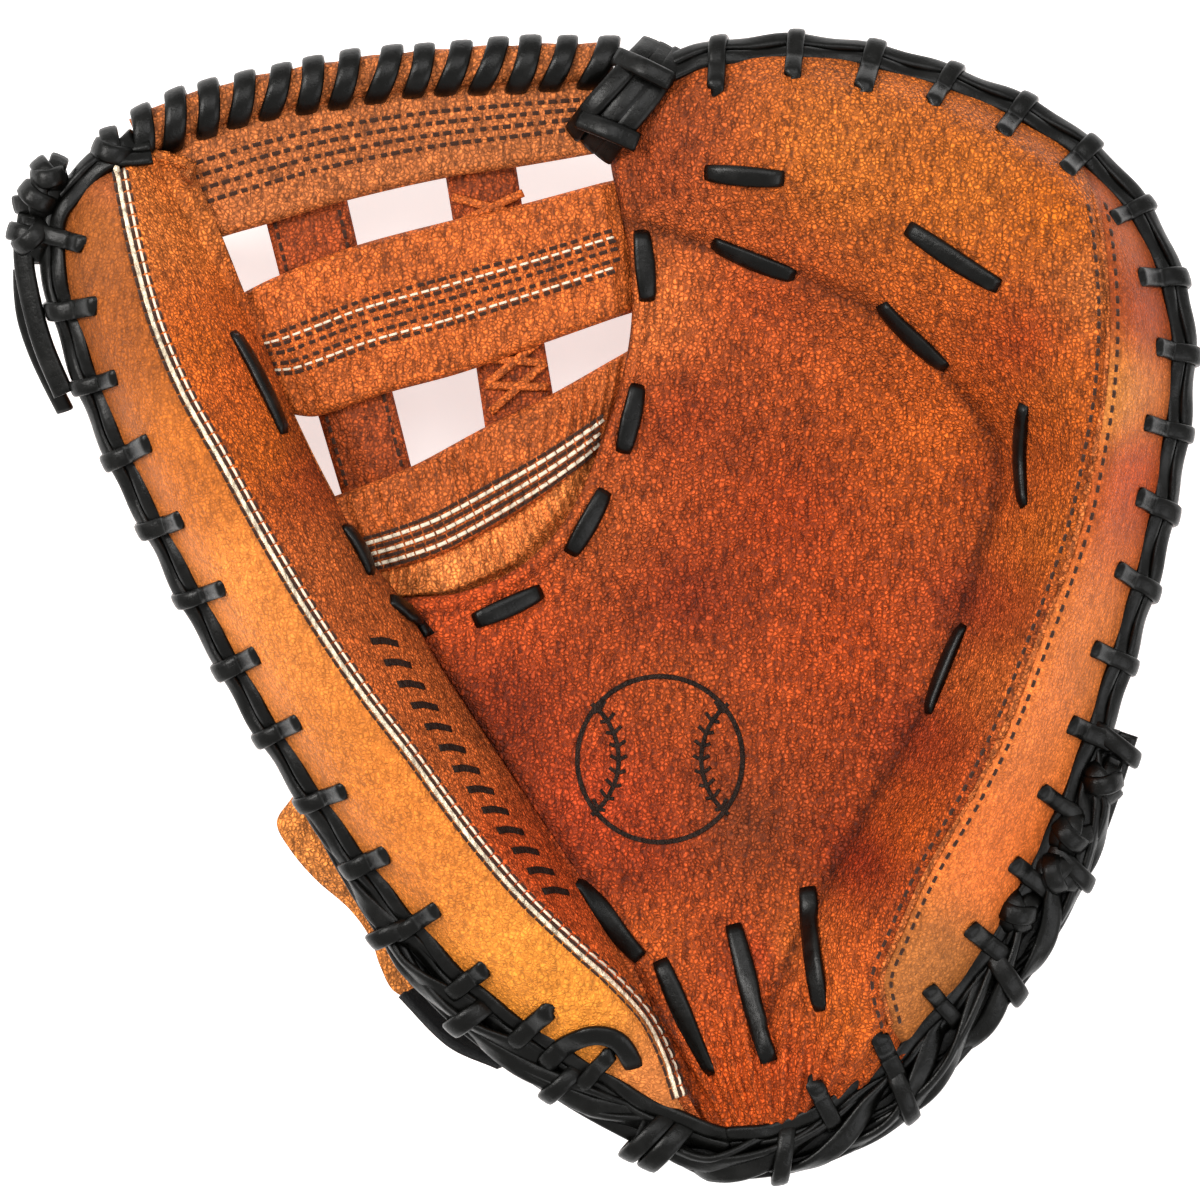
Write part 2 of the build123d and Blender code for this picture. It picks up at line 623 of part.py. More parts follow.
TAIL_RADIUS = 2.2
tail_route = [(-139.2, 80.0, 47.0), (-139.4, 71.5, 45.6), (-136.6, 61.6, 42.4),
              (-132.8, 52.8, 38.4), (-129.8, 46.6, 34.4)]
tail_points = [Vector(*p) for p in tail_route]
tail_radii, tail_length = [], 0.0
for behind, here, ahead in zip(tail_points, tail_points[1:], tail_points[2:]):
    turn = (here - behind).get_angle(ahead - here)
    shorter = min((here - behind).length, (ahead - here).length)
    tail_radii.append(0.45 * shorter / tan(radians(turn) / 2))
print("lace tail radii", [round(r, 1) for r in tail_radii])
with BuildPart() as lace_tail:
    with BuildLine() as tail_path:
        FilletPolyline(*tail_route, radius=tail_radii)
    with BuildSketch(Plane(tail_route[0], z_dir=tail_points[1] - tail_points[0])):
        Circle(TAIL_RADIUS)
    sweep(path=tail_path.wire())
print("lace tail length", round(tail_path.wire().length, 2), "volume over section",
      round(lace_tail.part.volume / (pi * TAIL_RADIUS**2), 2))
save(lace_tail, "lace_tail")

# ---- Thumb loop and wrist strap -----------------------------------------------------

loop_x, loop_y = plan(66, 21)
save(finger_loop(loop_x, loop_y, (FOLD_X, FOLD_Y)), "thumb_loop")

# The closing tab lies on the sloping back, by the little finger's side of the wrist, and
# peels outward about its low end. It stands square to the mitt's edge there.
TAB_LENGTH, TAB_WIDTH, TAB_THICK = 30.0, 22.0, 2.4
TAPE_THICK = 1.0
TAB_LOW = (75.7, -92.7, 3.0)
tab_across = Vector(0.65, 0.76, 0)
tab_along = Vector(0.309, -0.264, 0.914)
tab_plane = Plane(TAB_LOW, x_dir=tab_along, z_dir=tab_along.cross(tab_across))


def tab_sheet(start, length, width, low, thick):
    """A flat sheet parallel to the closing tab, `low` towards the mitt from it."""
    with BuildPart() as sheet:
        with BuildSketch(tab_plane.offset(low)):
            with Locations((start + length / 2, 0)):
                RectangleRounded(length, width, 4)
        extrude(amount=thick)
    return sheet


save(tab_sheet(0, TAB_LENGTH, TAB_WIDTH, 0, TAB_THICK), "strap_tab")

# The two halves of the hook-and-loop closure: hooks on the tab, loops on the wrist band.
tape = (5, TAB_LENGTH - 9, TAB_WIDTH - 6)
save(tab_sheet(*tape, TAB_THICK, TAPE_THICK), "hook_patch")
save(tab_sheet(*tape, TAB_THICK + TAPE_THICK + 0.4, TAPE_THICK), "loop_patch")
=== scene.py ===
"""The looks of a left-hand baseball catcher's mitt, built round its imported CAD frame.

Lengths are in millimetres until a mesh is made, where MM turns them into metres. The two
halves have the same height rows as the CAD part: the palm half is read at (x, y), and the
thumb half at (u, v), along the fold line and out from it.
"""
from math import cos, pi, radians, sin

import bpy
import numpy as np
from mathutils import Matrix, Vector, noise
from mathutils.bvhtree import BVHTree


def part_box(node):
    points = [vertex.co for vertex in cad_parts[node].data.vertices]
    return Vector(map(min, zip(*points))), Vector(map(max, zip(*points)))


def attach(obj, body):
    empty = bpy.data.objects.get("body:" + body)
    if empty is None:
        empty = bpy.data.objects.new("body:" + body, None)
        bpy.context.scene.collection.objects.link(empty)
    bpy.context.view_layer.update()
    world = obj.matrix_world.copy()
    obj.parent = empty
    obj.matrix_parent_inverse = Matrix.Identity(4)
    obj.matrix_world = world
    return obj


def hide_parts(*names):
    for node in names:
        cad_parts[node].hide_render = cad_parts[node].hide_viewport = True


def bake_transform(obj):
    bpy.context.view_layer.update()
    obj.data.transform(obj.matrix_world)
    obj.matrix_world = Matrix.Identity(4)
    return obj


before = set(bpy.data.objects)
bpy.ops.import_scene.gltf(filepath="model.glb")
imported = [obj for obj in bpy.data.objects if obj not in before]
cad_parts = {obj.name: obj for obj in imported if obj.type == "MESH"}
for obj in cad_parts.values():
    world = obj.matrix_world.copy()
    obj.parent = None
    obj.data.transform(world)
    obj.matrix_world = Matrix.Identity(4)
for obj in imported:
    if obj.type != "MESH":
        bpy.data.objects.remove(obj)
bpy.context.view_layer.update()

MM = 0.001


def unit(vector):
    return vector / np.linalg.norm(vector, axis=-1, keepdims=True)


# ---- Driving dimensions -------------------------------------------------------------

LEATHER = 2.2
EDGE_Z = 48.0            # middle of the lace round the edge
RIM_EDGE_Z = 50.2        # where the front's skins end, at the edge
BACK_EDGE_Z = 45.4       # where the back's skins end, at the edge
WEB_HEM_Z = 44.6         # where the pocket's skin ends, at the web
WEB_BACK_Z = 39.5        # where the back's skins end, at the web
LACE_WIDTH = 5.0
LACE_THICK = 1.7
LOOP_STEP = 19.0
LOOP_REACH = 6.5
WEB_Z = 44.6             # upper face of the web's bars
BAR_THICK = 3.8

FOLD_START = np.array((25.5, -120.0))
FOLD_END = np.array((-96.0, 87.0))
FOLD_Z = 46.0
fold_axis = unit(FOLD_END - FOLD_START)
fold_left = np.array((-fold_axis[1], fold_axis[0]))

# Y, then six (X, Z) points of the front, from the left edge to the outer edge.
PALM = [
    (-127, [(30, 47), (33, 49), (36, 50.5), (39, 51.5), (43, 52), (46.5, 51.5)]),
    (-112, [(21, 46), (29, 49), (37, 52), (47, 56), (58, 58), (68, 51.5)]),
    (-88, [(7, 46), (20, 46), (33, 46), (46, 50), (68, 67), (91.5, 51.5)]),
    (-60, [(-9.5, 46), (13, 42), (36, 41.5), (59, 46), (80, 74), (107, 51.5)]),
    (-30, [(-27, 46), (7, 40), (41, 39), (76, 46), (96, 78.5), (118, 51.5)]),
    (-5, [(-42, 46), (1, 39), (44, 38), (86.5, 46), (105, 80), (126, 51.5)]),
    (8, [(-26, 46), (12, 39), (51, 38), (90, 47), (110, 80), (130, 51.5)]),
    (20, [(-12, 46), (22, 40), (57, 38.5), (92, 47), (114, 80), (133, 51.5)]),
    (38, [(-1, 46), (30, 42), (62, 40), (94, 48), (117, 80), (136, 51.5)]),
    (60, [(6, 46), (30, 45), (54, 44.5), (79, 52), (119, 79), (138.5, 51.5)]),
    (82, [(6.5, 46), (23, 48), (40, 52), (75, 63), (117, 76), (134, 51.5)]),
    (102, [(3.5, 46.5), (22, 57), (48, 63), (78, 67), (107, 70), (122, 51.5)]),
    (118, [(4.5, 47), (18, 55), (38, 60.5), (60, 63), (84, 62), (101, 51.5)]),
    (129, [(13, 48), (24, 52), (36, 55), (48, 56), (60, 55), (72, 51.5)]),
]
# Distance along the fold, crest's distance from it, crest's height, edge's distance.
THUMB = [
    (-4, 2.6, 50.5, 6), (12, 3.6, 54.5, 15.5), (34, 6.5, 61, 27), (62, 11.5, 68, 37),
    (95, 18.5, 75, 42), (130, 21.5, 79.5, 44), (165, 22, 80, 43.5), (200, 21.5, 78, 42),
    (228, 18, 72, 38.5), (248, 14, 64.5, 33.5), (261, 10, 57, 24.5), (266, 6, 53.5, 17),
    (269, 2, 51, 8),
]

# Plan lines. CREASE runs from the heel along the fold to the web, and WEB_EDGE on from
# there to the crotch. SEAM is the crest of the finger side's rim.
CREASE = [(24, -127), (18, -112), (9.6, -91), (-1, -72), (-10, -58.5), (-25, -36),
          (-38, -16), (-48, 1)]
WEB_EDGE = [(-48, 1), (-33, 2.5), (-18, 9.5), (-7, 22), (0, 38), (5.5, 55), (7.7, 70),
            (7, 84), (4.5, 96), (2.4, 110), (6, 125)]
TOP_EDGE = [(6, 125), (24, 129.8), (52, 131.4), (82, 125), (104, 114.5), (114.5, 107.5)]
SEAM = [(74, -108), (69.4, -101), (67, -90), (70.8, -79.4), (77.3, -64.6), (88, -45.6),
        (96, -29), (102.5, -12), (108.5, 4), (113.3, 19), (116.6, 35), (119, 50),
        (120, 68), (119, 86), (117.4, 98), (114.5, 107.5)]
OUTER_EDGE = [(74, -108), (82, -98.5), (96, -79), (112, -47), (123.5, -16), (132, 14),
              (137.8, 46), (137.6, 68), (129.5, 91), (114.5, 107.5)]
HEEL_EDGE = [(24, -127), (32, -129), (48, -125), (62, -117), (74, -108)]

# The lace round the edge, in plan.
THUMB_LACE = [(-108, 110), (-117.6, 108.5), (-126, 102.5), (-132, 94), (-133.2, 82),
              (-129.6, 67.7), (-120, 41.3), (-105.6, 12.5), (-90.7, -15.1),
              (-73.9, -42.7), (-55.2, -69.1), (-33.1, -94.3), (-6, -113.5), (16, -126),
              (31, -131)]
FINGER_LACE = [(31, -131), (48, -127.9), (62, -119), (75.6, -108.7), (98.4, -81.1),
               (115.2, -47.5), (126, -16.3), (135.6, 17.3), (141, 50.9), (140.6, 70),
               (132, 92.9), (112.8, 113.3), (84, 127.2), (52.8, 134.4), (24, 132.5),
               (10, 127)]


# ---- Curves and heights -------------------------------------------------------------

def smooth(keys, values, t):
    """The cubic curve through the rows of values at keys, read at every t."""
    keys, values = np.asarray(keys, float), np.asarray(values, float)
    t = np.atleast_1d(np.asarray(t, float))
    i = np.clip(np.searchsorted(keys, t, side="right") - 1, 0, len(keys) - 2)
    every = np.arange(len(keys))
    before, after = np.maximum(every - 1, 0), np.minimum(every + 1, len(keys) - 1)
    slopes = (values[after] - values[before]) / (keys[after] - keys[before])[:, None]
    step = (keys[i + 1] - keys[i])[:, None]
    f = ((t - keys[i]) / step[:, 0])[:, None]
    return ((2 * f**3 - 3 * f**2 + 1) * values[i] + (3 * f**2 - 2 * f**3) * values[i + 1]
            + step * ((f**3 - 2 * f**2 + f) * slopes[i] + (f**3 - f**2) * slopes[i + 1]))


def trace(points, count=None, spacing=1.0):
    """Points evenly spaced along the smooth curve through `points`."""
    points = np.asarray(points, float)
    chords = np.linalg.norm(np.diff(points, axis=0), axis=1)
    keys = np.concatenate(([0], np.cumsum(chords)))
    fine = smooth(keys, points, np.linspace(0, keys[-1], 40 * len(points)))
    runs = np.concatenate(([0], np.cumsum(np.linalg.norm(np.diff(fine, axis=0), axis=1))))
    count = count or max(3, int(runs[-1] / spacing) + 1)
    even = np.linspace(0, runs[-1], count)
    return np.stack([np.interp(even, runs, fine[:, k]) for k in range(fine.shape[1])], 1)


GRID_X = np.arange(-64, 152, 1.0)
GRID_Y = np.arange(-134, 138, 1.0)
palm_rows = smooth([row[0] for row in PALM], [np.ravel(row[1]) for row in PALM],
                   np.clip(GRID_Y, PALM[0][0], PALM[-1][0]))
palm_grid = []
for row in palm_rows:
    line = smooth(range(6), row.reshape(6, 2), np.linspace(0, 5, 161))
    palm_grid.append(np.interp(GRID_X, np.maximum.accumulate(line[:, 0]), line[:, 1]))
palm_grid = np.array(palm_grid)


def lookup(grid, column, row):
    """Bilinear reading of a grid at fractional columns and rows."""
    column = np.clip(column, 0, grid.shape[1] - 1.001)
    row = np.clip(row, 0, grid.shape[0] - 1.001)
    i, j = row.astype(int), column.astype(int)
    f, g = row - i, column - j
    return ((1 - f) * ((1 - g) * grid[i, j] + g * grid[i, j + 1])
            + f * ((1 - g) * grid[i + 1, j] + g * grid[i + 1, j + 1]))


def palm_height(x, y):
    return lookup(palm_grid, x - GRID_X[0], y - GRID_Y[0])


def thumb_rows(u):
    """Crest's distance and height, and edge's distance, at distances u along the fold."""
    return smooth([row[0] for row in THUMB], [row[1:] for row in THUMB],
                  np.clip(u, THUMB[0][0], THUMB[-1][0])).T


GRID_U = np.arange(-8, 272, 1.0)
GRID_V = np.arange(-8, 48, 0.5)
crests, crest_heights, edges = thumb_rows(GRID_U)
thumb_grid = []
for crest, height, edge in zip(crests, crest_heights, edges):
    shape = np.array([(0, FOLD_Z), (0.5 * crest, FOLD_Z + 0.62 * (height - FOLD_Z)),
                      (crest, height), (crest + 0.6 * (edge - crest),
                                        51.5 + 0.7 * (height - 51.5)), (edge, 51.5)])
    line = smooth(range(5), shape, np.linspace(0, 4, 161))
    thumb_grid.append(np.interp(GRID_V, np.maximum.accumulate(line[:, 0]), line[:, 1]))
thumb_grid = np.array(thumb_grid)


def thumb_height(u, v):
    return lookup(thumb_grid, (v - GRID_V[0]) / 0.5, u - GRID_U[0])


def fold_frame(x, y):
    offset = np.stack((x, y), -1) - FOLD_START
    return offset @ fold_axis, offset @ fold_left


def plan(u, v):
    return FOLD_START + np.multiply.outer(u, fold_axis) + np.multiply.outer(v, fold_left)


def front_height(x, y):
    """Height of the front's face over plan points."""
    u, v = fold_frame(x, y)
    return np.where(v > 0, thumb_height(u, v), palm_height(x, y))


def face_normal(x, y, reach=1.2):
    """Unit normals of the front's face over plan points."""
    rise_x = (front_height(x + reach, y) - front_height(x - reach, y)) / (2 * reach)
    rise_y = (front_height(x, y + reach) - front_height(x, y - reach)) / (2 * reach)
    return unit(np.stack((-rise_x, -rise_y, np.ones_like(rise_x)), -1))


def distance_to(line, x, y):
    """Distance of plan points from a traced line."""
    line = trace(line, spacing=3.0)
    points = np.stack((np.ravel(x), np.ravel(y)), 1)
    best = np.full(len(points), 1e9)
    for a, b in zip(line, line[1:]):
        along = b - a
        f = np.clip(((points - a) @ along) / (along @ along), 0, 1)
        best = np.minimum(best, np.linalg.norm(points - a - f[:, None] * along, axis=1))
    return best.reshape(np.shape(x))


def rounded(distance, radius):
    """From 0 at an edge to 1 at `radius` inside it, as a quarter circle."""
    return np.sqrt(1 - (1 - np.clip(distance / radius, 0, 1)) ** 2)


# ---- Materials ----------------------------------------------------------------------

def linear(colour):
    """A colour given as 0 to 255 on screen, for the shader."""
    channel = np.asarray(colour, float) / 255
    return np.where(channel < 0.04045, channel / 12.92, ((channel + 0.055) / 1.055) ** 2.4)


def material(name, roughness, specular, sheen=0.0):
    """A new node material, its shader, and functions that add and wire nodes."""
    made = bpy.data.materials.new(name)
    made.use_nodes = True
    tree = made.node_tree
    shader = tree.nodes["Principled BSDF"]
    shader.inputs["Roughness"].default_value = roughness
    shader.inputs["Specular IOR Level"].default_value = specular
    shader.inputs["Sheen Weight"].default_value = sheen

    def node(kind, settings=None, **wires):
        added = tree.nodes.new(kind)
        for key, value in (settings or {}).items():
            setattr(added, key, value)
        for key, value in wires.items():
            socket = added.inputs[int(key[1:]) if key[1:].isdigit() else key]
            if hasattr(value, "is_output"):
                tree.links.new(value, socket)
            else:
                socket.default_value = value
        return added

    return made, shader, node, tree.links.new


def combined(node, operation, a, b):
    return node("ShaderNodeMath", {"operation": operation}, _0=a, _1=b).outputs[0]


def mixed(node, factor, a, b, blend="MIX"):
    kind = {"data_type": "RGBA", "blend_type": blend}
    return node("ShaderNodeMix", kind, _0=factor, _6=a, _7=b).outputs[2]


def ranged(node, value, low, high, new_low, new_high):
    """A value carried from one range to another and held at its ends."""
    return node("ShaderNodeMapRange", _0=value, _1=low, _2=high, _3=new_low,
                _4=new_high).outputs[0]


def noise_fac(node, place, scale, detail, roughness=0.5, distortion=0.0):
    return node("ShaderNodeTexNoise", Vector=place, Scale=scale, Detail=detail,
                Roughness=roughness, Distortion=distortion).outputs["Fac"]


def plain_colour(node, colour):
    made = node("ShaderNodeRGB").outputs[0]
    made.default_value = (*linear(colour), 1)
    return made


def grey(node, value):
    return node("ShaderNodeCombineColor", _0=value, _1=value, _2=value).outputs[0]


def leather(name, colour, pebble=1.05, depth=0.7, contrast=0.55, roughness=0.56, grain=1.0):
    """Pebbled leather. The colour is a constant, or None to read the mesh's tint, which on the
    front's skins holds painted light and shade.

    `pebble` is a pebble's size in millimetres, `depth` the relief's strength, `contrast`
    how dark the grooves are painted as shade, and `grain` how strong the fine speckle and creases
    are.
    """
    made, shader, node, link = material(name, roughness, 0.16)
    place = node("ShaderNodeTexCoord").outputs["Object"]
    if colour is None:
        base = node("ShaderNodeVertexColor", {"layer_name": "tint"}).outputs["Color"]
    else:
        base = plain_colour(node, colour)
    warp = node("ShaderNodeTexNoise", Vector=place, Scale=330.0, Detail=3.0)
    nudge = node("ShaderNodeVectorMath", {"operation": "SCALE"},
                 _0=warp.outputs["Color"], Scale=0.0022).outputs[0]
    bent = node("ShaderNodeVectorMath", {"operation": "ADD"}, _0=place, _1=nudge).outputs[0]
    cells = node("ShaderNodeTexVoronoi", {"feature": "DISTANCE_TO_EDGE"}, Vector=bent,
                 Scale=1000 / pebble).outputs["Distance"]
    dome = node("ShaderNodeMapRange", {"interpolation_type": "SMOOTHSTEP"}, _0=cells,
                _1=0.0, _2=0.3, _3=0.0, _4=1.0).outputs[0]
    coarse = noise_fac(node, place, 42.0, 5.0, 0.65)
    mottle = noise_fac(node, place, 210.0, 3.0, 0.6, 0.8)
    fine = noise_fac(node, place, 950.0, 3.0, 0.65)
    drawn_out = node("ShaderNodeMapping", _0=place)
    drawn_out.inputs["Rotation"].default_value = (0, 0, radians(-38))
    drawn_out.inputs["Scale"].default_value = (1.0, 0.3, 1.0)
    crease = noise_fac(node, drawn_out.outputs[0], 900.0, 2.0, 0.6, 0.6)
    shade = ranged(node, coarse, 0.3, 0.7, 0.9, 1.28)
    # The pebble grain's pattern, with grooves painted darker and pebble tops lighter along the
    # relief: painted shade and highlight.
    for value, low, high, dark, pale in (
            (dome, 0.0, 1.0, 1 - contrast, 1 + 0.3 * contrast),
            (mottle, 0.3, 0.7, 0.86, 1.13),
            (fine, 0.3, 0.7, 1 - 0.29 * grain, 1 + 0.3 * grain),
            (crease, 0.34, 0.62, 0.93 - 0.43 * grain, 0.93 + 0.43 * grain)):
        shade = combined(node, "MULTIPLY", shade, ranged(node, value, low, high, dark, pale))
    link(mixed(node, 1.0, base, grey(node, shade), "MULTIPLY"), shader.inputs["Base Color"])
    link(ranged(node, fine, 0.2, 0.8, roughness - 0.1, roughness + 0.14),
         shader.inputs["Roughness"])
    relief = combined(node, "MULTIPLY", dome, 0.6)
    for value, share in ((crease, 0.9), (mottle, 0.8)):
        relief = combined(node, "ADD", relief, combined(node, "MULTIPLY", value, share))
    bump = node("ShaderNodeBump", Height=relief, Strength=depth, Distance=0.0008)
    link(bump.outputs[0], shader.inputs["Normal"])
    return made


def lace_leather(name, colour):
    """Oiled rawhide, smooth along the strap, with worn lighter flecks."""
    made, shader, node, link = material(name, 0.36, 0.2)
    place = node("ShaderNodeTexCoord").outputs["Object"]
    grain = noise_fac(node, place, 420.0, 5.0, 0.7)
    flecks = ranged(node, noise_fac(node, place, 130.0, 3.0), 0.52, 0.78, 0.0, 0.45)
    worn = plain_colour(node, [channel + 30 for channel in colour])
    link(mixed(node, flecks, plain_colour(node, colour), worn), shader.inputs["Base Color"])
    link(ranged(node, grain, 0.2, 0.8, 0.2, 0.42), shader.inputs["Roughness"])
    bump = node("ShaderNodeBump", Height=grain, Strength=0.45, Distance=0.0004)
    link(bump.outputs[0], shader.inputs["Normal"])
    return made


def cloth(name, colour, scale, depth, sheen, contrast):
    """Felt, fleece, tape or thread: a fine fibrous noise in colour and relief."""
    made, shader, node, link = material(name, 0.9, 0.2, sheen)
    place = node("ShaderNodeTexCoord").outputs["Object"]
    fibre = noise_fac(node, place, scale, 6.0, 0.75)
    shade = grey(node, ranged(node, fibre, 0.25, 0.75, 1 - contrast, 1 + contrast))
    link(mixed(node, 1.0, plain_colour(node, colour), shade, "MULTIPLY"),
         shader.inputs["Base Color"])
    bump = node("ShaderNodeBump", Height=fibre, Strength=depth, Distance=0.0012)
    link(bump.outputs[0], shader.inputs["Normal"])
    return made


tinted = leather("leather_tinted", None)
rim_tinted = leather("leather_rim", None, depth=0.5, contrast=0.3, grain=0.5)
top_bar_leather = leather("leather_web_top", (180, 100, 50), depth=0.4)
bar_leather = leather("leather_web_light", (198, 98, 40), depth=0.5)
web_leather = leather("leather_web", (154, 68, 28), depth=0.5)
lower_bar_leather = leather("leather_web_lower", (184, 92, 40), depth=0.5)
crescent_leather = leather("leather_crescent", (230, 130, 64), depth=0.5)
strap_leather = leather("leather_strap", (226, 136, 64))
back_leather = leather("leather_back", (186, 98, 45))
liner_leather = leather("leather_liner", (170, 116, 72), pebble=0.8, contrast=0.25)
lace_black = lace_leather("lace_black", (5, 5, 4))
felt = cloth("felt", (188, 178, 158), 900.0, 0.6, 0.3, 0.25)
fleece = cloth("fleece", (9, 9, 11), 420.0, 1.0, 0.05, 0.7)
tape = cloth("hook_tape", (24, 24, 26), 1400.0, 1.0, 0.2, 0.6)
pale_thread = cloth("thread_pale", (238, 222, 196), 2400.0, 0.5, 0.2, 0.2)
dark_thread = cloth("thread_dark", (58, 34, 22), 2400.0, 0.5, 0.1, 0.3)
piping_skin = leather("piping", (246, 226, 196), pebble=0.6, contrast=0.15, roughness=0.4)
ink = leather("stamp_ink", (38, 26, 20), pebble=1.0, contrast=0.3, roughness=0.6)


# ---- Mesh makers --------------------------------------------------------------------

def make(name, points, faces, surface, body, replaces=()):
    """A smooth-shaded mesh object, from points in millimetres.

    It rides on `body`, or, if that is "crease", on no body, with its place baked into its mesh.
    """
    mesh = bpy.data.meshes.new(name)
    mesh.from_pydata((np.asarray(points, float) * MM).tolist(), [], faces)
    mesh.update()
    mesh.polygons.foreach_set("use_smooth", [True] * len(mesh.polygons))
    made = bpy.data.objects.new(name, mesh)
    bpy.context.collection.objects.link(made)
    mesh.materials.append(surface)
    if body == "crease":
        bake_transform(made)
    else:
        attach(made, body)
    if replaces:
        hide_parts(*replaces)
    return made


def grid_faces(rows, columns, first=0, wrap=False):
    faces = []
    for i in range(rows - 1):
        for j in range(columns if wrap else columns - 1):
            k = (j + 1) % columns
            faces.append((first + i * columns + j, first + i * columns + k,
                          first + (i + 1) * columns + k, first + (i + 1) * columns + j))
    return faces


def layered_faces(rows, columns):
    """Faces of a closed body between two grids, the second below the first."""
    count = rows * columns
    faces = grid_faces(rows, columns)
    faces += [tuple(reversed([i + count for i in face])) for face in faces]
    border = list(range(columns)) + [i * columns + columns - 1 for i in range(1, rows)]
    border += [(rows - 1) * columns + j for j in range(columns - 2, -1, -1)]
    border += [i * columns for i in range(rows - 2, 0, -1)]
    return faces + [(b, a, a + count, b + count)
                    for a, b in zip(border, border[1:] + border[:1])]


def shell(name, surface_points, thick, surface, body, replaces=(), tint=None):
    """A skin of even thickness under a grid of points (rows, columns, 3), faces up."""
    down = np.cross(np.gradient(surface_points, axis=1), np.gradient(surface_points, axis=0))
    length = np.linalg.norm(down, axis=2, keepdims=True)
    down = down / np.maximum(length, 1e-9)
    under = surface_points - down * thick * np.where(down[..., 2:] > 0, 1, -1)
    points = np.concatenate((surface_points.reshape(-1, 3), under.reshape(-1, 3)))
    faces = layered_faces(*surface_points.shape[:2])
    made = make(name, points, faces, surface, body, replaces)
    if tint is not None:
        colours = made.data.color_attributes.new("tint", "FLOAT_COLOR", "POINT")
        shades = np.concatenate((tint.reshape(-1, 3), tint.reshape(-1, 3)))
        colours.data.foreach_set("color", np.c_[shades, np.ones(len(shades))].ravel())
    return made


def strap_points(path, normals, width, thick, closed=False):
    """Rings of a flat strap with rounded edges, along a path."""
    path, normals = np.asarray(path, float), np.asarray(normals, float)
    if closed:
        tangent = np.roll(path, -1, 0) - np.roll(path, 1, 0)
    else:
        tangent = np.gradient(path, axis=0)
    tangent = unit(tangent)
    side = unit(np.cross(tangent, normals))
    up = np.cross(side, tangent)
    width = np.broadcast_to(width, len(path))[:, None, None]
    outline = np.array([(-0.5, -0.2), (-0.42, -0.5), (0.42, -0.5), (0.5, -0.2), (0.5, 0.2),
                        (0.42, 0.5), (0.2, 0.62), (-0.2, 0.62), (-0.42, 0.5), (-0.5, 0.2)])
    return (path[:, None] + outline[None, :, :1] * width * side[:, None]
            + outline[None, :, 1:] * thick * up[:, None])


def strap_faces(rings, columns, first, closed):
    faces = grid_faces(rings, columns, first, wrap=True)
    last = first + (rings - 1) * columns
    if closed:
        faces += [(last + j, last + (j + 1) % columns, first + (j + 1) % columns, first + j)
                  for j in range(columns)]
    else:
        faces += [tuple(first + j for j in reversed(range(columns))),
                  tuple(last + j for j in range(columns))]
    return faces


def straps(name, runs, thick, surface, body, replaces=()):
    """One piece of several straps. Each run is (path, normals, width, closed)."""
    points, faces = [], []
    for path, normals, width, closed in runs:
        rings = strap_points(path, normals, width, thick, closed)
        first = sum(len(p) for p in points)
        faces += strap_faces(rings.shape[0], rings.shape[1], first, closed)
        points.append(rings.reshape(-1, 3))
    return make(name, np.concatenate(points), faces, surface, body, replaces)


def on_front(line, lift, spacing=1.0):
    """A traced plan line laid on the front's face, with the face's normals."""
    line = trace(line, spacing=spacing)
    normals = face_normal(line[:, 0], line[:, 1])
    place = np.c_[line, front_height(line[:, 0], line[:, 1])] + normals * lift
    return place, normals


def dashes(line, lift, pitch, fill, width, shift=0.0):
    """Short straps along a plan line, as stitches. `shift` moves the row sideways."""
    place = trace(line, spacing=0.5)
    tangent = unit(np.gradient(place, axis=0))
    place = place + shift * np.c_[-tangent[:, 1], tangent[:, 0]]
    runs = []
    for k in range(int(len(place) * 0.5 / pitch)):
        a = int(k * pitch / 0.5)
        b = min(len(place) - 1, a + max(2, int(pitch * fill / 0.5)))
        if b - a < 2:
            continue
        pick = place[np.linspace(a, b, 4).astype(int)]
        runs.append((pick, lift, width))
    return runs


def stitch_rows(name, rows, surface, body):
    """A piece of stitches on the front's face. Each row is a list from dashes()."""
    made = []
    for pick, lift, width in [dash for row in rows for dash in row]:
        normals = face_normal(pick[:, 0], pick[:, 1])
        place = np.c_[pick, front_height(pick[:, 0], pick[:, 1])] + normals * lift
        place[0] -= normals[0] * 0.25
        place[-1] -= normals[-1] * 0.25
        made.append((place, normals, width, False))
    straps(name, made, 0.45, surface, body)


UP = (0, 0, 1.0)


def facing(direction, path):
    """The same normal at each point of a path."""
    return np.tile(direction, (len(path), 1))


# ---- Plan patches -------------------------------------------------------------------

def patch(left, right, bottom, top, rows, columns):
    """Plan points filling four border lines: rows go up, columns go left to right."""
    b = np.linspace(0, 1, rows)[:, None, None]
    a = np.linspace(0, 1, columns)[None, :, None]
    low, high = trace(bottom, columns)[None], trace(top, columns)[None]
    corners = ((1 - a) * (1 - b) * low[:, :1] + a * (1 - b) * low[:, -1:]
               + (1 - a) * b * high[:, :1] + a * b * high[:, -1:])
    return ((1 - a) * trace(left, rows)[:, None] + a * trace(right, rows)[:, None]
            + (1 - b) * low + b * high - corners)


def ruled(left, right, rows, columns):
    """Plan points between two lines."""
    a = np.linspace(0, 1, columns)[None, :, None]
    return (1 - a) * trace(left, rows)[:, None] + a * trace(right, rows)[:, None]


def joined(*lines):
    """One dense line through several smooth ones that meet at corners."""
    parts = [trace(lines[0])] + [trace(line)[1:] for line in lines[1:]]
    return np.concatenate(parts)


def ripple(points, size, seed):
    """Smooth noise, -1 to 1, over plan points."""
    flat = points.reshape(-1, points.shape[-1])
    values = [noise.noise(Vector((p[0] / size, p[1] / size, seed))) for p in flat]
    return np.array(values).reshape(points.shape[:-1])


def lifted(points, height):
    return np.concatenate((points, height[..., None]), axis=-1)


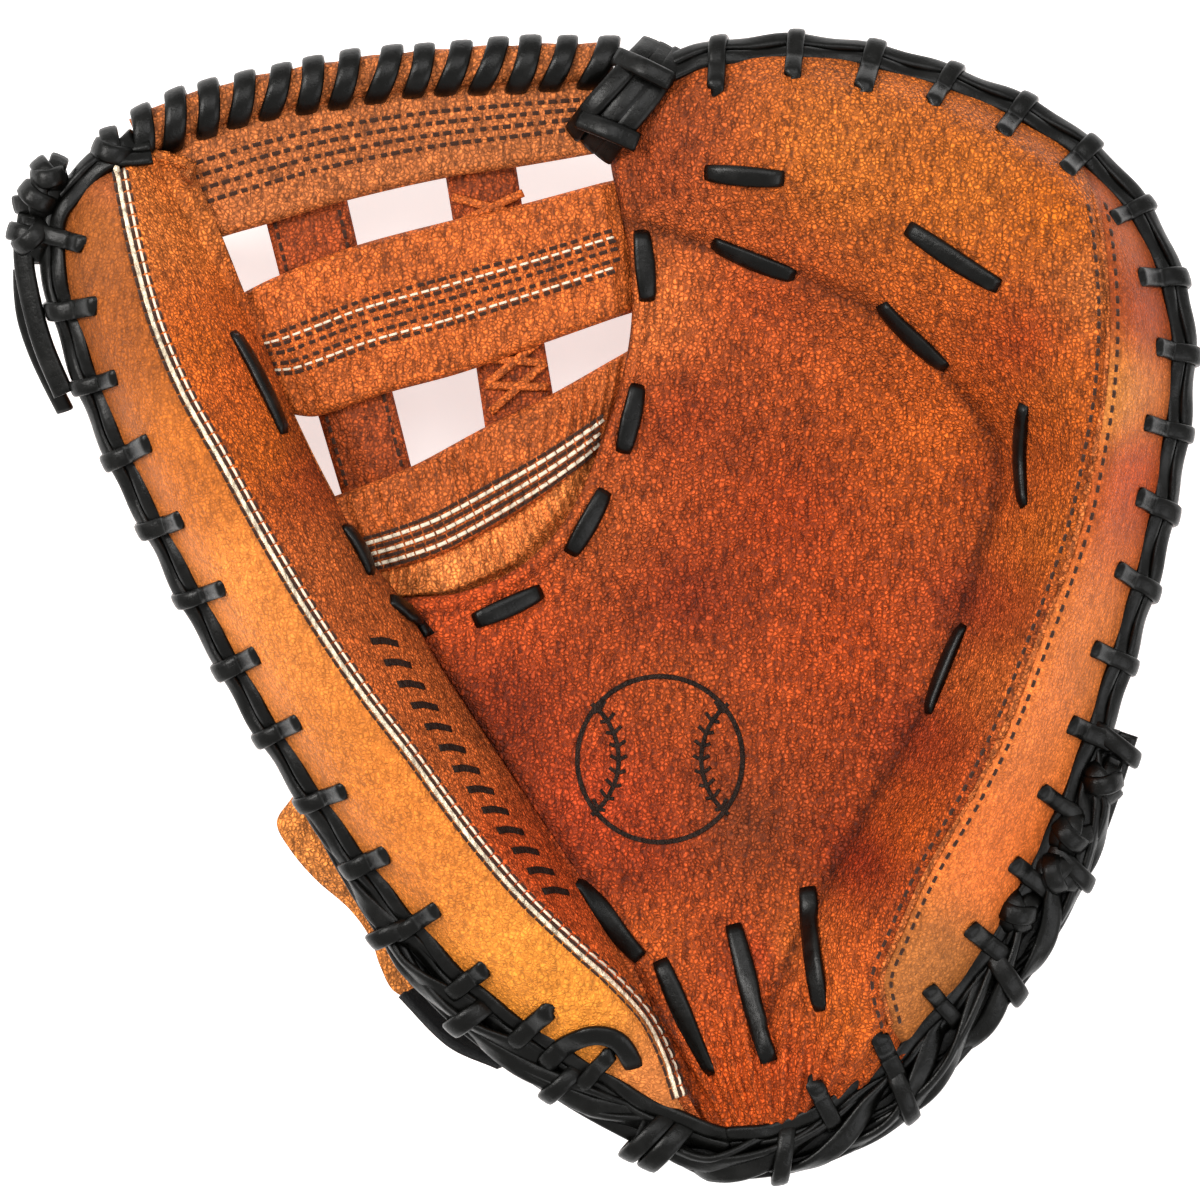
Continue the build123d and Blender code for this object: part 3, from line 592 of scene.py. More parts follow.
def tints(points, samples):
    """Colours blended between samples, each a plan point and a colour on screen."""
    flat = points.reshape(-1, 2)
    places = np.array([sample[:2] for sample in samples], float)
    colours = np.array([linear(sample[2]) for sample in samples])
    weight = 1 / (np.linalg.norm(flat[:, None] - places[None], axis=2) + 6) ** 3.2
    weight /= weight.sum(1, keepdims=True)
    return (weight @ colours).reshape(*points.shape[:-1], 3)


def with_painted_shade(tint, amount):
    """A tint with painted shade: made darker by `amount`, from 0 to 1, at each point."""
    return tint * (1 - amount[..., None])


def near(distance, width):
    """1 on a line, falling smoothly to 0 a few widths away from it."""
    return np.exp(-(distance / width) ** 2)


def hemmed(height, distance, radius, edge=RIM_EDGE_Z):
    """Heights rounded down to the height of an edge, over `radius` beside it."""
    return edge + (height - edge) * rounded(distance, radius)


# ---- Front skins --------------------------------------------------------------------

POCKET_FOOT = [(6, 91.5), (20, 87.5), (37.7, 81.6), (53, 76), (67.2, 68.9), (78, 61),
               (85.2, 52.1), (92, 44), (95, 36.5), (95.5, 26), (92.4, 14.9), (87, -3),
               (81.6, -18.7), (67.2, -45.1), (55.2, -66.7), (45.6, -85.9), (40, -100)]
# Pocket colours by place: the leather's tone with painted light and shade, such as the finger
# wall's inner slope painted dark.
PALM_TINTS_AND_PAINTED_LIGHT = [
    (45, 20, (169, 63, 21)), (20, 45, (152, 59, 22)), (60, -10, (183, 72, 24)),
    (20, -20, (172, 74, 28)), (22, 0, (144, 52, 21)), (35, -55, (123, 55, 24)),
    (10, -60, (146, 52, 19)), (38, -85, (162, 55, 21)), (46, -83, (198, 98, 38)),
    (45, -112, (188, 76, 27)), (30, -118, (185, 77, 23)),
    (60, -98, (195, 91, 25)), (40, 72, (171, 72, 28)), (15, 105, (145, 63, 27)),
    (60, 108, (192, 102, 35)), (90, 100, (182, 95, 28)), (108, 92, (195, 97, 19)),
    (100, 62, (159, 62, 19)), (93, 30, (159, 66, 20)), (88, 0, (150, 57, 26)),
    (76, -32, (142, 50, 20)), (62, -62, (133, 40, 13)), (113, 50, (188, 90, 26)),
    (108, 15, (183, 91, 29)), (96, -20, (190, 94, 37)), (78, -55, (177, 76, 21)),
    (66, -90, (197, 87, 31)), (10, 70, (218, 111, 51)), (-4, 22, (188, 88, 38)),
    (-30, 0, (207, 82, 32)), (-22, -25, (131, 46, 17)), (0, -50, (178, 63, 27)),
    (14, -84, (189, 84, 30)), (118, 75, (188, 100, 42)), (82, 40, (201, 93, 30))]
palm_left = joined(CREASE, WEB_EDGE)
pocket = patch(palm_left, SEAM, HEEL_EDGE, TOP_EDGE, 300, 200)
x, y = pocket[..., 0], pocket[..., 1]
to_seam = distance_to(SEAM, x, y)
to_foot = distance_to(POCKET_FOOT, x, y)
to_rim = distance_to(HEEL_EDGE[:-1], x, y)
to_rim = np.minimum(to_rim, distance_to(TOP_EDGE, x, y))
to_web = distance_to(WEB_EDGE, x, y)
to_crease = distance_to(CREASE, x, y)
height = palm_height(x, y)
height = height + 0.9 * ripple(pocket, 34, 1.3) + 0.35 * ripple(pocket, 11, 4.1)
height -= 1.5 * near(to_foot, 2.0)
height -= 1.3 * near(to_seam, 1.5)
height -= 1.2 * near(to_crease, 2.2)
height = hemmed(height, to_rim, 8)
height += 0.7 * near(to_web - 2.2, 1.3)
height = hemmed(height, to_web, 2.4, WEB_HEM_Z)


def heel_folds(x, y):
    """Creases that fan out of the heel between its laces."""
    angle = np.arctan2(x - 43, y + 150)
    fade = np.clip((-78 - y) / 30, 0, 1) * np.clip((y + 128) / 8, 0, 1)
    return 0.9 * fade * np.sin(angle * 62)


height += heel_folds(x, y)
shade = tints(pocket, PALM_TINTS_AND_PAINTED_LIGHT)
# Painted shade: darker in the pocket's creases, along the seam's groove and at the web's hem fold.
shade = with_painted_shade(shade, 0.55 * near(to_foot, 1.8) + 0.35 * near(to_seam, 1.4))
shade = with_painted_shade(shade, 0.45 * near(to_crease, 3) + 0.5 * near(to_web, 0.9)
                 + 0.3 * near(to_web - 4, 0.7))
shell("pocket_skin", lifted(pocket, height), LEATHER, tinted, "crease",
      ["pocket_leather"], shade)

# Finger rim colours by place: the leather's tone with painted light and shade.
RIM_TINTS_AND_PAINTED_LIGHT = [(122, -20, (206, 112, 46)), (128, 30, (183, 73, 25)), (130, 70, (159, 65, 21)),
             (126, 95, (178, 84, 34)), (100, -60, (235, 118, 49)), (82, -90, (177, 105, 48)),
             (118, 48, (209, 128, 58)), (100, -25, (235, 125, 57))]
rim = ruled(SEAM, OUTER_EDGE, 280, 36)
x, y = rim[..., 0], rim[..., 1]
to_seam, to_edge = distance_to(SEAM, x, y), distance_to(OUTER_EDGE, x, y)
height = palm_height(x, y) + 0.6 * ripple(rim, 26, 7.7) - 1.3 * near(to_seam, 1.5)
height = hemmed(height, to_edge, 7)
# Painted shade along the seam's groove and at the edge by the lace.
shade = with_painted_shade(tints(rim, RIM_TINTS_AND_PAINTED_LIGHT), 0.35 * near(to_seam, 1.4)
                 + 0.3 * near(to_edge, 3))
shell("finger_rim_skin", lifted(rim, height), LEATHER, rim_tinted, "palm",
      ["finger_rim_leather"], shade)

THUMB_INNER = [(25, -126)] + CREASE[1:] + [(-56.4, 12), (-72, 41.3), (-84, 70), (-92, 90),
                                           (-98, 104)]
PIPING = [(22.5, -125.6), (18.5, -119), (15.6, -110), (10.8, -100.3), (2.8, -91), (-6, -82.8),
          (-18.7, -70.4), (-29, -58.3), (-37.5, -47), (-45.4, -36), (-56, -22),
          (-68.2, -3.8), (-79.7, 15.4),
          (-90, 34), (-98.5, 49), (-105.4, 64.8), (-110.6, 81.6), (-116, 104)]
THUMB_OUTER = [(22, -127.4), (-4.5, -112), (-31, -91.6), (-53, -67), (-71.3, -41),
               (-88, -13.5), (-103, 13.6), (-117.2, 42.3), (-126.7, 68.6), (-130.2, 82),
               (-129, 93), (-124, 100.2), (-116, 104)]
THUMB_TOP = [(-98, 104), (-103, 106.2), (-109, 107), (-116, 104)]
THUMB_FOOT = [(25, -126), (23.8, -125.9), (22.5, -125.6)]

# Thumb panel colours by place: the leather's tone with painted light and shade.
PANEL_TINTS_AND_PAINTED_LIGHT = [(10, -100, (222, 106, 46)), (-14, -66, (207, 84, 35)), (-40, -30, (196, 98, 44)),
               (-62, 10, (192, 96, 42)), (-80, 35, (193, 93, 25)), (-92, 60, (208, 102, 27)),
               (-100, 90, (214, 117, 51)), (-86, 60, (230, 103, 39)), (-68, 30, (176, 74, 28))]
panel = patch(THUMB_INNER, PIPING, THUMB_FOOT, THUMB_TOP, 300, 40)
x, y = panel[..., 0], panel[..., 1]
u, v = fold_frame(x, y)
to_piping, to_inner = distance_to(PIPING, x, y), distance_to(THUMB_INNER, x, y)
height = thumb_height(u, v) + 0.5 * ripple(panel, 22, 2.9) + 0.25 * ripple(panel, 7, 8.2)
height -= 1.2 * near(to_piping, 1.4) + 0.8 * near(to_inner, 1.8)
height = hemmed(height, distance_to(THUMB_TOP, x, y), 8)
# Painted shade in the fold's crease and beside the piping.
shade = with_painted_shade(tints(panel, PANEL_TINTS_AND_PAINTED_LIGHT), 0.4 * near(to_inner, 3.5)
                 + 0.3 * near(to_piping, 1.2))
shell("thumb_panel_skin", lifted(panel, height), LEATHER, tinted, "crease",
      ["thumb_panel_leather"], shade)

# Thumb rim colours by place: the leather's tone with painted light, bright towards the heel and
# darker towards the tip.
THUMB_RIM_TINTS_AND_PAINTED_LIGHT = [(-10, -100, (240, 146, 50)), (-50, -50, (217, 123, 46)),
                   (-80, 0, (216, 125, 52)), (-100, 35, (192, 104, 35)),
                   (-116, 62, (152, 79, 25)), (-120, 90, (150, 81, 29)),
                   (-116, 102, (170, 90, 46)), (14, -118, (206, 120, 60))]
outer = ruled(PIPING, THUMB_OUTER, 300, 36)
x, y = outer[..., 0], outer[..., 1]
u, v = fold_frame(x, y)
to_piping, to_edge = distance_to(PIPING, x, y), distance_to(THUMB_OUTER, x, y)
height = thumb_height(u, v) + 0.6 * ripple(outer, 24, 5.5) - 1.2 * near(to_piping, 1.4)
height = hemmed(height, to_edge, 7)
# Painted shade beside the piping and at the edge by the lace.
shade = with_painted_shade(tints(outer, THUMB_RIM_TINTS_AND_PAINTED_LIGHT), 0.3 * near(to_piping, 1.2)
                 + 0.25 * near(to_edge, 3))
shell("thumb_rim_skin", lifted(outer, height), LEATHER, rim_tinted, "crease",
      ["thumb_rim_leather"], shade)

SKINS = ("pocket_skin", "finger_rim_skin", "thumb_panel_skin", "thumb_rim_skin")
skin_points, skin_faces = [], []
for skin in SKINS:
    mesh = bpy.data.objects[skin].data
    skin_faces += [[i + len(skin_points) for i in p.vertices] for p in mesh.polygons]
    skin_points += [v.co / MM for v in mesh.vertices]
skin_tree = BVHTree.FromPolygons(skin_points, skin_faces)
drawn_height = front_height


def front_height(x, y):
    """Height of the skins as they were made, with their ripples."""
    x, y = np.atleast_1d(x), np.atleast_1d(y)
    heights = drawn_height(x, y)
    for i, (px, py) in enumerate(zip(x.ravel(), y.ravel())):
        hit = skin_tree.ray_cast(Vector((px, py, 120)), Vector((0, 0, -1)))[0]
        if hit is not None and hit.z > 25:
            heights.flat[i] = hit.z
    return heights


# Piping and seams along the two crests.
place, normals = on_front(PIPING[1:], -0.1)
straps("thumb_piping_roll", [(place, normals, 1.1, False)], 1.3, piping_skin, "crease",
       ["thumb_piping"])
place, normals = on_front(SEAM[1:-1], -0.5)
straps("finger_rim_roll", [(place, normals, 1.6, False)], 1.5, back_leather, "palm",
       ["finger_rim_welt"])
stitch_rows("thumb_seam_stitches", [dashes(PIPING[1:], 0.1, 3.0, 0.95, 0.7, 1.0),
                                    dashes(PIPING[1:], 0.1, 3.0, 0.9, 0.7, -1.0),
                                    dashes(PIPING[1:], 0.1, 3.0, 0.8, 0.5, -2.4)],
            dark_thread, "crease")
stitch_rows("thumb_seam_bright_stitches", [dashes(PIPING[1:], 0.1, 3.0, 0.85, 0.6, -1.75)],
            pale_thread, "crease")
stitch_rows("finger_seam_stitches", [dashes(SEAM[1:-1], 0.3, 3.2, 0.62, 0.8, 2.3),
                                     dashes(SEAM[1:-1], 0.3, 3.2, 0.62, 0.8, -2.3)],
            dark_thread, "palm")

# ---- Back skins ---------------------------------------------------------------------

def palm_back_height(x, y):
    """Height of the palm half's back, which is flat in the middle and curls up."""
    rim_line = joined(HEEL_EDGE, OUTER_EDGE, TOP_EDGE[::-1])
    to_rim = distance_to(rim_line, x, y)
    to_web = distance_to(WEB_EDGE, x, y)
    curl = BACK_EDGE_Z * np.clip(1 - to_rim / 60, 0, 1) ** 3
    web_curl = WEB_BACK_Z * np.clip(1 - to_web / 44, 0, 1) ** 3
    return 0.2 + (curl ** 4 + web_curl ** 4) ** 0.25


def thumb_back_height(x, y):
    to_rim = distance_to(joined(THUMB_OUTER, THUMB_TOP[::-1]), x, y)
    to_web = distance_to(THUMB_INNER[8:], x, y)
    curl = BACK_EDGE_Z * np.clip(1 - to_rim / 36, 0, 1) ** 3
    web_curl = WEB_BACK_Z * np.clip(1 - to_web / 26, 0, 1) ** 3
    return 0.2 + (curl ** 4 + web_curl ** 4) ** 0.25


BACK_TINTS = [(40, 40, (176, 92, 42)), (100, 60, (190, 104, 50)), (100, -20, (184, 98, 46)),
              (20, 90, (190, 104, 50)), (50, -40, (166, 84, 38)), (60, -100, (196, 116, 60))]
finger_left = joined([(-19.5, -44), (-30, -26), (-41, -8), (-48, 1)], WEB_EDGE)
finger_right = [(113, -46)] + OUTER_EDGE[4:]
back = patch(finger_left, finger_right, [(-19.5, -44), (15, -55), (65, -58), (113, -46)],
             TOP_EDGE, 190, 150)
x, y = back[..., 0], back[..., 1]
height = palm_back_height(x, y) + np.clip(0.5 * ripple(back, 30, 3.2), -0.1, 0.5)
shade = tints(back, BACK_TINTS)
shell("finger_back_skin", lifted(back, height), -LEATHER, tinted, "palm",
      ["finger_back"], shade)

THUMB_BACK_TINTS = [(-30, -60, (206, 126, 66)), (-80, 20, (200, 118, 60)),
                    (-110, 80, (186, 104, 52))]
thumb_back = patch([(-3, -72), (-25, -35), (-48, 1)] + THUMB_INNER[8:],
                   [(-47, -74.5)] + THUMB_OUTER[3:10] + THUMB_OUTER[11:],
                   [(-3, -72), (-22, -76), (-47, -74.5)], THUMB_TOP, 190, 70)
x, y = thumb_back[..., 0], thumb_back[..., 1]
height = thumb_back_height(x, y) + np.clip(0.4 * ripple(thumb_back, 24, 9.2), -0.1, 0.4)
shell("thumb_back_skin", lifted(thumb_back, height), -LEATHER, tinted, "crease",
      ["thumb_back"], tints(thumb_back, THUMB_BACK_TINTS))

band = patch([(15.6, -108), (10, -96), (4.5, -84)], [(76, -106), (86, -95), (93, -84)],
             [(15.6, -108), (46, -109), (76, -106)], [(4.5, -84), (46, -83), (93, -84)], 40, 90)
x, y = band[..., 0], band[..., 1]
band_height = palm_back_height(x, y) + 0.3
shell("wrist_band_skin", lifted(band, band_height), -LEATHER, strap_leather, "palm",
      ["wrist_band"])
shell("wrist_fleece_pile", lifted(band, band_height + LEATHER + 0.2)[2:-2, 2:-2], -3.2,
      fleece, "palm", ["wrist_fleece"])
bound = lifted(band, band_height + 1.1)[0, 6:-6]
normals = np.cross(np.gradient(bound, axis=0), (0, -1, 0))
straps("wrist_band_binding", [(bound, normals, 3.2, False)], 3.4, back_leather, "palm",
       ["wrist_binding"])


def rising(rows, columns, low, high):
    """Heights of a strip that curls up from its first column to its last."""
    f = np.linspace(0, 1, columns)[None] * np.ones((rows, 1))
    return low + (high - low) * f ** 1.5


thumb_band = ruled([(9.5, -100.5), (-2.5, -80)], [(-23, -111), (-35, -106), (-46, -94)], 40, 60)
shell("thumb_band_skin", lifted(thumb_band, rising(40, 60, 4.5, 29)), -LEATHER,
      strap_leather, "thumb", ["thumb_wrist_band"])
fleece_patch = ruled([(11, -102), (-2, -80)], [(-25, -113.5), (-37, -108), (-49, -96)], 40, 60)
height = rising(40, 60, 7.6, 32.6) + 0.5 * ripple(fleece_patch, 4, 1)
shell("thumb_fleece_pile", lifted(fleece_patch, height), -3.0, fleece, "thumb",
      ["thumb_fleece"])
TAB_OUTER = [(-74.9, -47.5), (-78.6, -53.5), (-75.5, -60), (-69.1, -67.7), (-61, -75),
             (-56, -82), (-53.5, -89), (-50, -95), (-40, -99)]
TAB_INNER = [(-64, -44), (-56, -52), (-45, -62), (-32, -72), (-22, -80), (-12, -88)]
tab = ruled(TAB_INNER, TAB_OUTER, 90, 30)
f = np.linspace(0, 1, 30)[None, :] * np.ones((90, 1))
along = np.linspace(0, 1, 90)[:, None]
tab_height = 36 - 6 * along - 5 * f ** 2 + 1.4 * np.sin(along * 9) * f + 0.5 * ripple(tab, 9, 2)
shell("wrist_tab_skin", lifted(tab, tab_height), 2.6, strap_leather, "thumb",
      ["thumb_wrist_tab"])

# ---- Padding and linings ------------------------------------------------------------

def slab(name, top, bottom, surface, body, replaces):
    """A closed body between two grids of points."""
    faces = layered_faces(*top.shape[:2])
    points = np.concatenate((top.reshape(-1, 3), bottom.reshape(-1, 3)))
    made = make(name, points, faces, surface, body, replaces)


def crowned(count_rows, count_columns, radius):
    """How full a pad is over its grid, from 0 at its border."""
    b = np.minimum(np.arange(count_rows), np.arange(count_rows)[::-1])[:, None]
    a = np.minimum(np.arange(count_columns), np.arange(count_columns)[::-1])[None]
    return rounded(np.minimum(a, b), radius)


def felt_pad(name, grid, top, floor, body, replaces):
    full = crowned(*top.shape, 3)
    middle = (top + floor) / 2
    slab(name, lifted(grid, middle + (top - middle) * full),
         lifted(grid, middle - (middle - floor) * full), felt, body,
         replaces)


grid = pocket[10:-8:3, 4:-3:3]
x, y = grid[..., 0], grid[..., 1]
near_edge = np.clip(distance_to(joined(HEEL_EDGE, TOP_EDGE[::-1]), x, y) / 22, 0, 1)
near_web = np.clip(distance_to(WEB_EDGE, x, y) / 16, 0, 1)
floor = np.maximum(31.2 + 15 * (1 - near_edge) ** 2, 31.2 + 8.5 * (1 - near_web) ** 2)
top = np.maximum(palm_height(x, y) - LEATHER - 2.8, floor + 0.8)
top = np.minimum(top, RIM_EDGE_Z - 3 + 40 * near_edge)
felt_pad("palm_felt", grid, top, np.minimum(floor, top - 0.6), "palm", ["palm_pad"])
grid = rim[14:-14:3, 3:-6:3]
x, y = grid[..., 0], grid[..., 1]
near_edge = np.clip(distance_to(OUTER_EDGE, x, y) / 22, 0, 1)
top = palm_height(x, y) - LEATHER - 2.6
felt_pad("finger_felt", grid, np.maximum(top, 46.5), 33 + 13 * (1 - near_edge) ** 2, "palm",
         ["finger_pad"])
inner, seam, rim_edge = (trace(line, 60)[9:-7] for line in (THUMB_INNER, PIPING, THUMB_OUTER))
grid = ruled(0.82 * inner + 0.18 * seam, 0.86 * rim_edge + 0.14 * seam, 90, 24)
x, y = grid[..., 0], grid[..., 1]
u, v = fold_frame(x, y)
near_edge = np.clip(distance_to(THUMB_OUTER, x, y) / 18, 0, 1)
top = np.maximum(thumb_height(u, v) - LEATHER - 3.0, 45.6)
floor = np.where(u > 135, 42, 32) + (46 - 32) * (1 - near_edge) ** 2 * (u < 135)
felt_pad("thumb_felt", grid, top, np.minimum(floor, top - 1), "thumb", ["thumb_pad"])

lining_line_left = [(40, -110), (16, -90), (-2, -62), (-18, -34), (-30, -12), (-12, 4),
                    (6, 22), (17, 42), (23, 70), (31, 99)]
lining_line_right = [(52, -106), (76, -80), (92, -40), (102, 0), (108, 40), (106, 70),
                     (90, 92), (62, 102)]
grid = ruled(lining_line_left, lining_line_right, 110, 60)
height = 28.9 + 0.35 * ripple(grid, 12, 6.6)
shell("palm_lining_skin", lifted(grid, height), 1.2, liner_leather, "palm",
      ["palm_lining"])


def stall(name, node, body, middle_line, radii):
    """A sewn finger liner: a soft tube with a closed tip and a turned-in mouth."""
    start, end = (np.array(p, float) for p in middle_line)
    axis = unit(end - start)
    side = unit(np.cross(axis, (0, 0, 1)))
    length = np.linalg.norm(end - start)
    along = np.concatenate((np.linspace(0, length - radii[1], 30),
                            length - radii[1] + radii[1] * np.sin(np.linspace(0.1, pi / 2, 10))))
    taper = np.sqrt(1 - (np.clip(along - (length - radii[1]), 0, None) / radii[1]) ** 2 * 0.98)
    ring = np.linspace(0, 2 * pi, 33)[:-1]
    points = []
    for inset in (0.0, 1.2):
        for k, (t, size) in enumerate(zip(along, taper)):
            pucker = 1 + 0.025 * np.sin(ring * 5 + k * 0.8)
            points.append(start + axis * min(t, length - inset)
                          + np.outer((radii[0] - inset) * size * pucker * np.cos(ring), side)
                          + np.outer((radii[1] - inset) * size * pucker * np.sin(ring), (0, 0, 1)))
    rings = len(along)
    faces = grid_faces(rings, 32, wrap=True)
    faces += [tuple(reversed(f)) for f in grid_faces(rings, 32, rings * 32, wrap=True)]
    for j in range(32):
        k = (j + 1) % 32
        faces.append((k, j, rings * 32 + j, rings * 32 + k))
    last = (rings - 1) * 32
    faces += [tuple(last + j for j in range(32)),
              tuple(last + rings * 32 + j for j in reversed(range(32)))]
    make(name, np.concatenate(points), faces, liner_leather, body, [node])


for node in ("index_stall", "middle_stall", "ring_stall", "little_stall"):
    low, high = (np.array(corner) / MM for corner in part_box(node))
    centre, size = (low + high) / 2, high - low
    stall(f"{node}_liner", node, "palm", ((centre[0], low[1], centre[2]),
                                          (centre[0], high[1], centre[2])),
          (size[0] / 2, size[2] / 2))
stall("thumb_stall_liner", "thumb_stall", "thumb",
      ((*plan(78, 19.5), 16), (*plan(152, 22), 17)), (11, 9.4))


def hanging_loop(name, node, body, centre, across, radius, width):
    """A half ring of leather that hangs from the lining across a finger."""
    angle = np.linspace(pi, 2 * pi, 25)
    across = np.array((*across, 0))
    path = np.array(centre) + np.outer(radius * np.cos(angle), across) \
        + np.outer(radius * np.sin(angle), (0, 0, 1))
    normals = np.array(centre) - path
    straps(name, [(path, normals, width, False)], 1.2, liner_leather, body,
           [node])


hanging_loop("little_finger_strap", "little_finger_loop", "palm", (82, -26, 28.2), (1, 0),
             9.4, 12)
hanging_loop("thumb_strap", "thumb_loop", "thumb", (*plan(66, 21), 28.2), fold_left, 9.4, 12)

# ---- Web ----------------------------------------------------------------------------

def web_sag(x, y):
    """How far the web hangs below its two edges, between the fold and the palm."""
    u, v = fold_frame(x, y)
    across = np.clip(-v / 92, 0, 1)
    return 3.0 * np.sin(pi * across) * np.clip((u - 120) / 60, 0, 1)


def tucked(x, y):
    """How far a bar's end dips to pass under the thumb's panel or the palm's edge."""
    u, v = fold_frame(x, y)
    edge_x = np.interp(y, [p[1] for p in WEB_EDGE], [p[0] for p in WEB_EDGE])
    thumb_end, palm_end = np.clip((v + 10) / 9, 0, 1), np.clip((x - edge_x + 5) / 6, 0, 1)
    return 3.4 * thumb_end ** 2 * (3 - 2 * thumb_end) + 3.6 * palm_end ** 2 * (3 - 2 * palm_end)


def bar(name, node, low, high, top, thick, surface, puff, rows=150, columns=30, pleats=0.0,
        pitch=2.6):
    """A leather bar of the web between two plan lines, with soft rolled edges."""
    grid = np.transpose(ruled(low, high, rows, columns), (1, 0, 2))[::-1]
    x, y = grid[..., 0], grid[..., 1]
    across = np.linspace(0, 1, columns)[:, None] * np.ones((1, rows))
    along = np.linspace(0, 1, rows)[None] * np.linalg.norm(np.subtract(low[0], low[-1]))
    width = np.linalg.norm(grid[0] - grid[-1], axis=1)[None]
    to_edge = np.minimum(across, 1 - across) * width
    roll = rounded(to_edge, 2.2)
    middle = top - thick / 2 - web_sag(x, y) - tucked(x, y)
    crown = puff * np.sin(pi * across) + 0.35 * ripple(grid, 9, 3.3)
    crease = np.sin(along * 2 * pi / pitch + 3 * ripple(grid, 14, 8.8) + 1.4 * across)
    crown += pleats * crease * (0.55 + 0.6 * ripple(grid, 12, 1.7))
    upper = middle + (thick / 2 + crown) * (0.12 + 0.88 * roll)
    lower = middle - thick / 2 * (0.12 + 0.88 * roll)
    face = lifted(grid, upper)
    slab(name, face, lifted(grid, lower), surface, "crease", [node])
    return face[::-1]


TOP_LOW = [(-94, 87.5), (-81.4, 91), (-61.4, 97), (-37.4, 102.5), (-20.4, 105), (3.5, 109)]
TOP_HIGH = [(-109, 109.5), (-100, 113.6), (-80, 119.3), (-55.7, 123.5), (-28, 125.8),
            (3, 127)]
MIDDLE_LOW = [(-75.6, 45.5), (-68.2, 45), (-51.8, 50.4), (-33.6, 55.4), (-17.5, 61.2), (9, 70.5)]
MIDDLE_HIGH = [(-88, 74), (-78.5, 78.5), (-60.5, 85.7), (-38.4, 91.7), (-21.4, 95.5), (7, 103)]
LOWER_LOW = [(-56, 6.5), (-46, 9), (-36, 12.5), (-19.2, 22), (-5, 32), (5, 41)]
LOWER_HIGH = [(-64.5, 25.5), (-46.3, 32.4), (-28.3, 42), (-12.7, 49.7), (2, 58), (12, 64)]
CRESCENT_LOW = [(-55, 5), (-46, -1.5), (-34, -2.5), (-20, 3.5), (-8, 15), (2, 31)]
CRESCENT_HIGH = [(-56, 7), (-46, 9.5), (-36, 13), (-19.2, 22.5), (-1, 37.5)]
top_face = bar("web_top_leather", "web_top_bar", TOP_LOW, TOP_HIGH, WEB_Z + 0.5, BAR_THICK,
               top_bar_leather, puff=0.8, pleats=0.2, pitch=4)
middle_face = bar("web_middle_leather", "web_middle_bar", MIDDLE_LOW, MIDDLE_HIGH, WEB_Z,
                  BAR_THICK, bar_leather, puff=2.0, columns=40, pleats=0.5, pitch=3.4)
lower_face = bar("web_lower_leather", "web_lower_bar", LOWER_LOW, LOWER_HIGH, WEB_Z + 0.6,
                 BAR_THICK, lower_bar_leather, puff=1.8, pleats=0.9, pitch=3.0)
bar("web_crescent_leather", "web_crescent", CRESCENT_LOW, CRESCENT_HIGH, WEB_Z - 0.9,
    BAR_THICK - 0.8, crescent_leather, puff=0.6, pleats=0.9, pitch=2.4)
post_top = WEB_Z - BAR_THICK - 0.3
thumb_post_face = bar("web_thumb_post_leather", "web_thumb_post",
                      [(-81.4, 94), (-72, 58), (-62, 24)], [(-61.4, 98), (-53, 62), (-45, 30)],
                      post_top, 2.8, web_leather, puff=0.4, rows=80)
bar("web_finger_post_leather", "web_finger_post", [(-37.4, 103), (-32, 70), (-27.5, 40)],
    [(-20.4, 106), (-15.5, 75), (-11, 48)], post_top, 2.8, web_leather, puff=0.4, rows=80)


def face_line(face, f, start=0.0, stop=1.0, wander=0.0):
    """A line along a bar's upper face, a fraction f of the way across it."""
    columns, rows, _ = face.shape
    at = f * (columns - 1)
    j = min(int(at), columns - 2)
    line = face[j] * (1 - at + j) + face[j + 1] * (at - j)
    return line[int(start * (rows - 1)):int(stop * (rows - 1)) + 1] + (0, wander, 0)


def bar_stitches(name, face, fractions, pitch, fill, thread, width=0.9, start=0.05, stop=0.97):
    """Rows of stitches that lie on a bar's own wrinkled face."""
    runs = []
    for f in fractions:
        line = trace(face_line(face, f, start, stop), spacing=0.5)
        length = len(line)
        for at in np.arange(0, length - pitch * 2 * fill - 1, pitch * 2):
            piece = line[int(at):int(at + pitch * 2 * fill) + 1] + (0, 0, 0.12)
            runs.append((piece, facing(UP, piece), width, False))
    straps(name, runs, 0.55, thread, "crease")


bar_stitches("web_top_stitches", top_face, (0.34, 0.46, 0.58, 0.7), 2.9, 0.62, dark_thread, 1.0)
bar_stitches("web_middle_stitches", middle_face, (0.36, 0.58), 2.9, 0.7, pale_thread, 0.6,
             0.02)
bar_stitches("web_middle_dark_stitches", middle_face, (0.33, 0.41, 0.49, 0.55, 0.63), 2.9, 0.62,
             dark_thread, 0.9, 0.02)
bar_stitches("web_lower_stitches", lower_face, (0.1, 0.23, 0.36), 3.0, 0.96, pale_thread, 0.9,
             0.0, 0.9)
bar_stitches("web_lower_dark_stitches", lower_face, (0.05, 0.165, 0.295, 0.42), 3.0, 0.96,
             dark_thread, 0.8, 0.0, 0.9)
bar_stitches("web_post_stitches", thumb_post_face, (0.1, 0.88), 2.7, 0.6, dark_thread, 0.8)

# Tan thongs laced in crosses down the finger-side post.
post_runs = []
post_left, post_right = trace([(-35.8, 98), (-26.5, 46)], 9), trace([(-18.6, 99), (-12.5, 52)], 9)
for k in range(8):
    for a, b in ((post_left[k], post_right[k + 1]), (post_right[k], post_left[k + 1])):
        path = np.c_[np.linspace(a, b, 9),
                     post_top + 0.6 - web_sag(*np.linspace(a, b, 9).T)
                     + 0.9 * np.sin(np.linspace(0, pi, 9))]
        post_runs.append((path, facing(UP, path), 2.0, False))
straps("web_post_thongs", post_runs, 1.0, bar_leather, "palm")

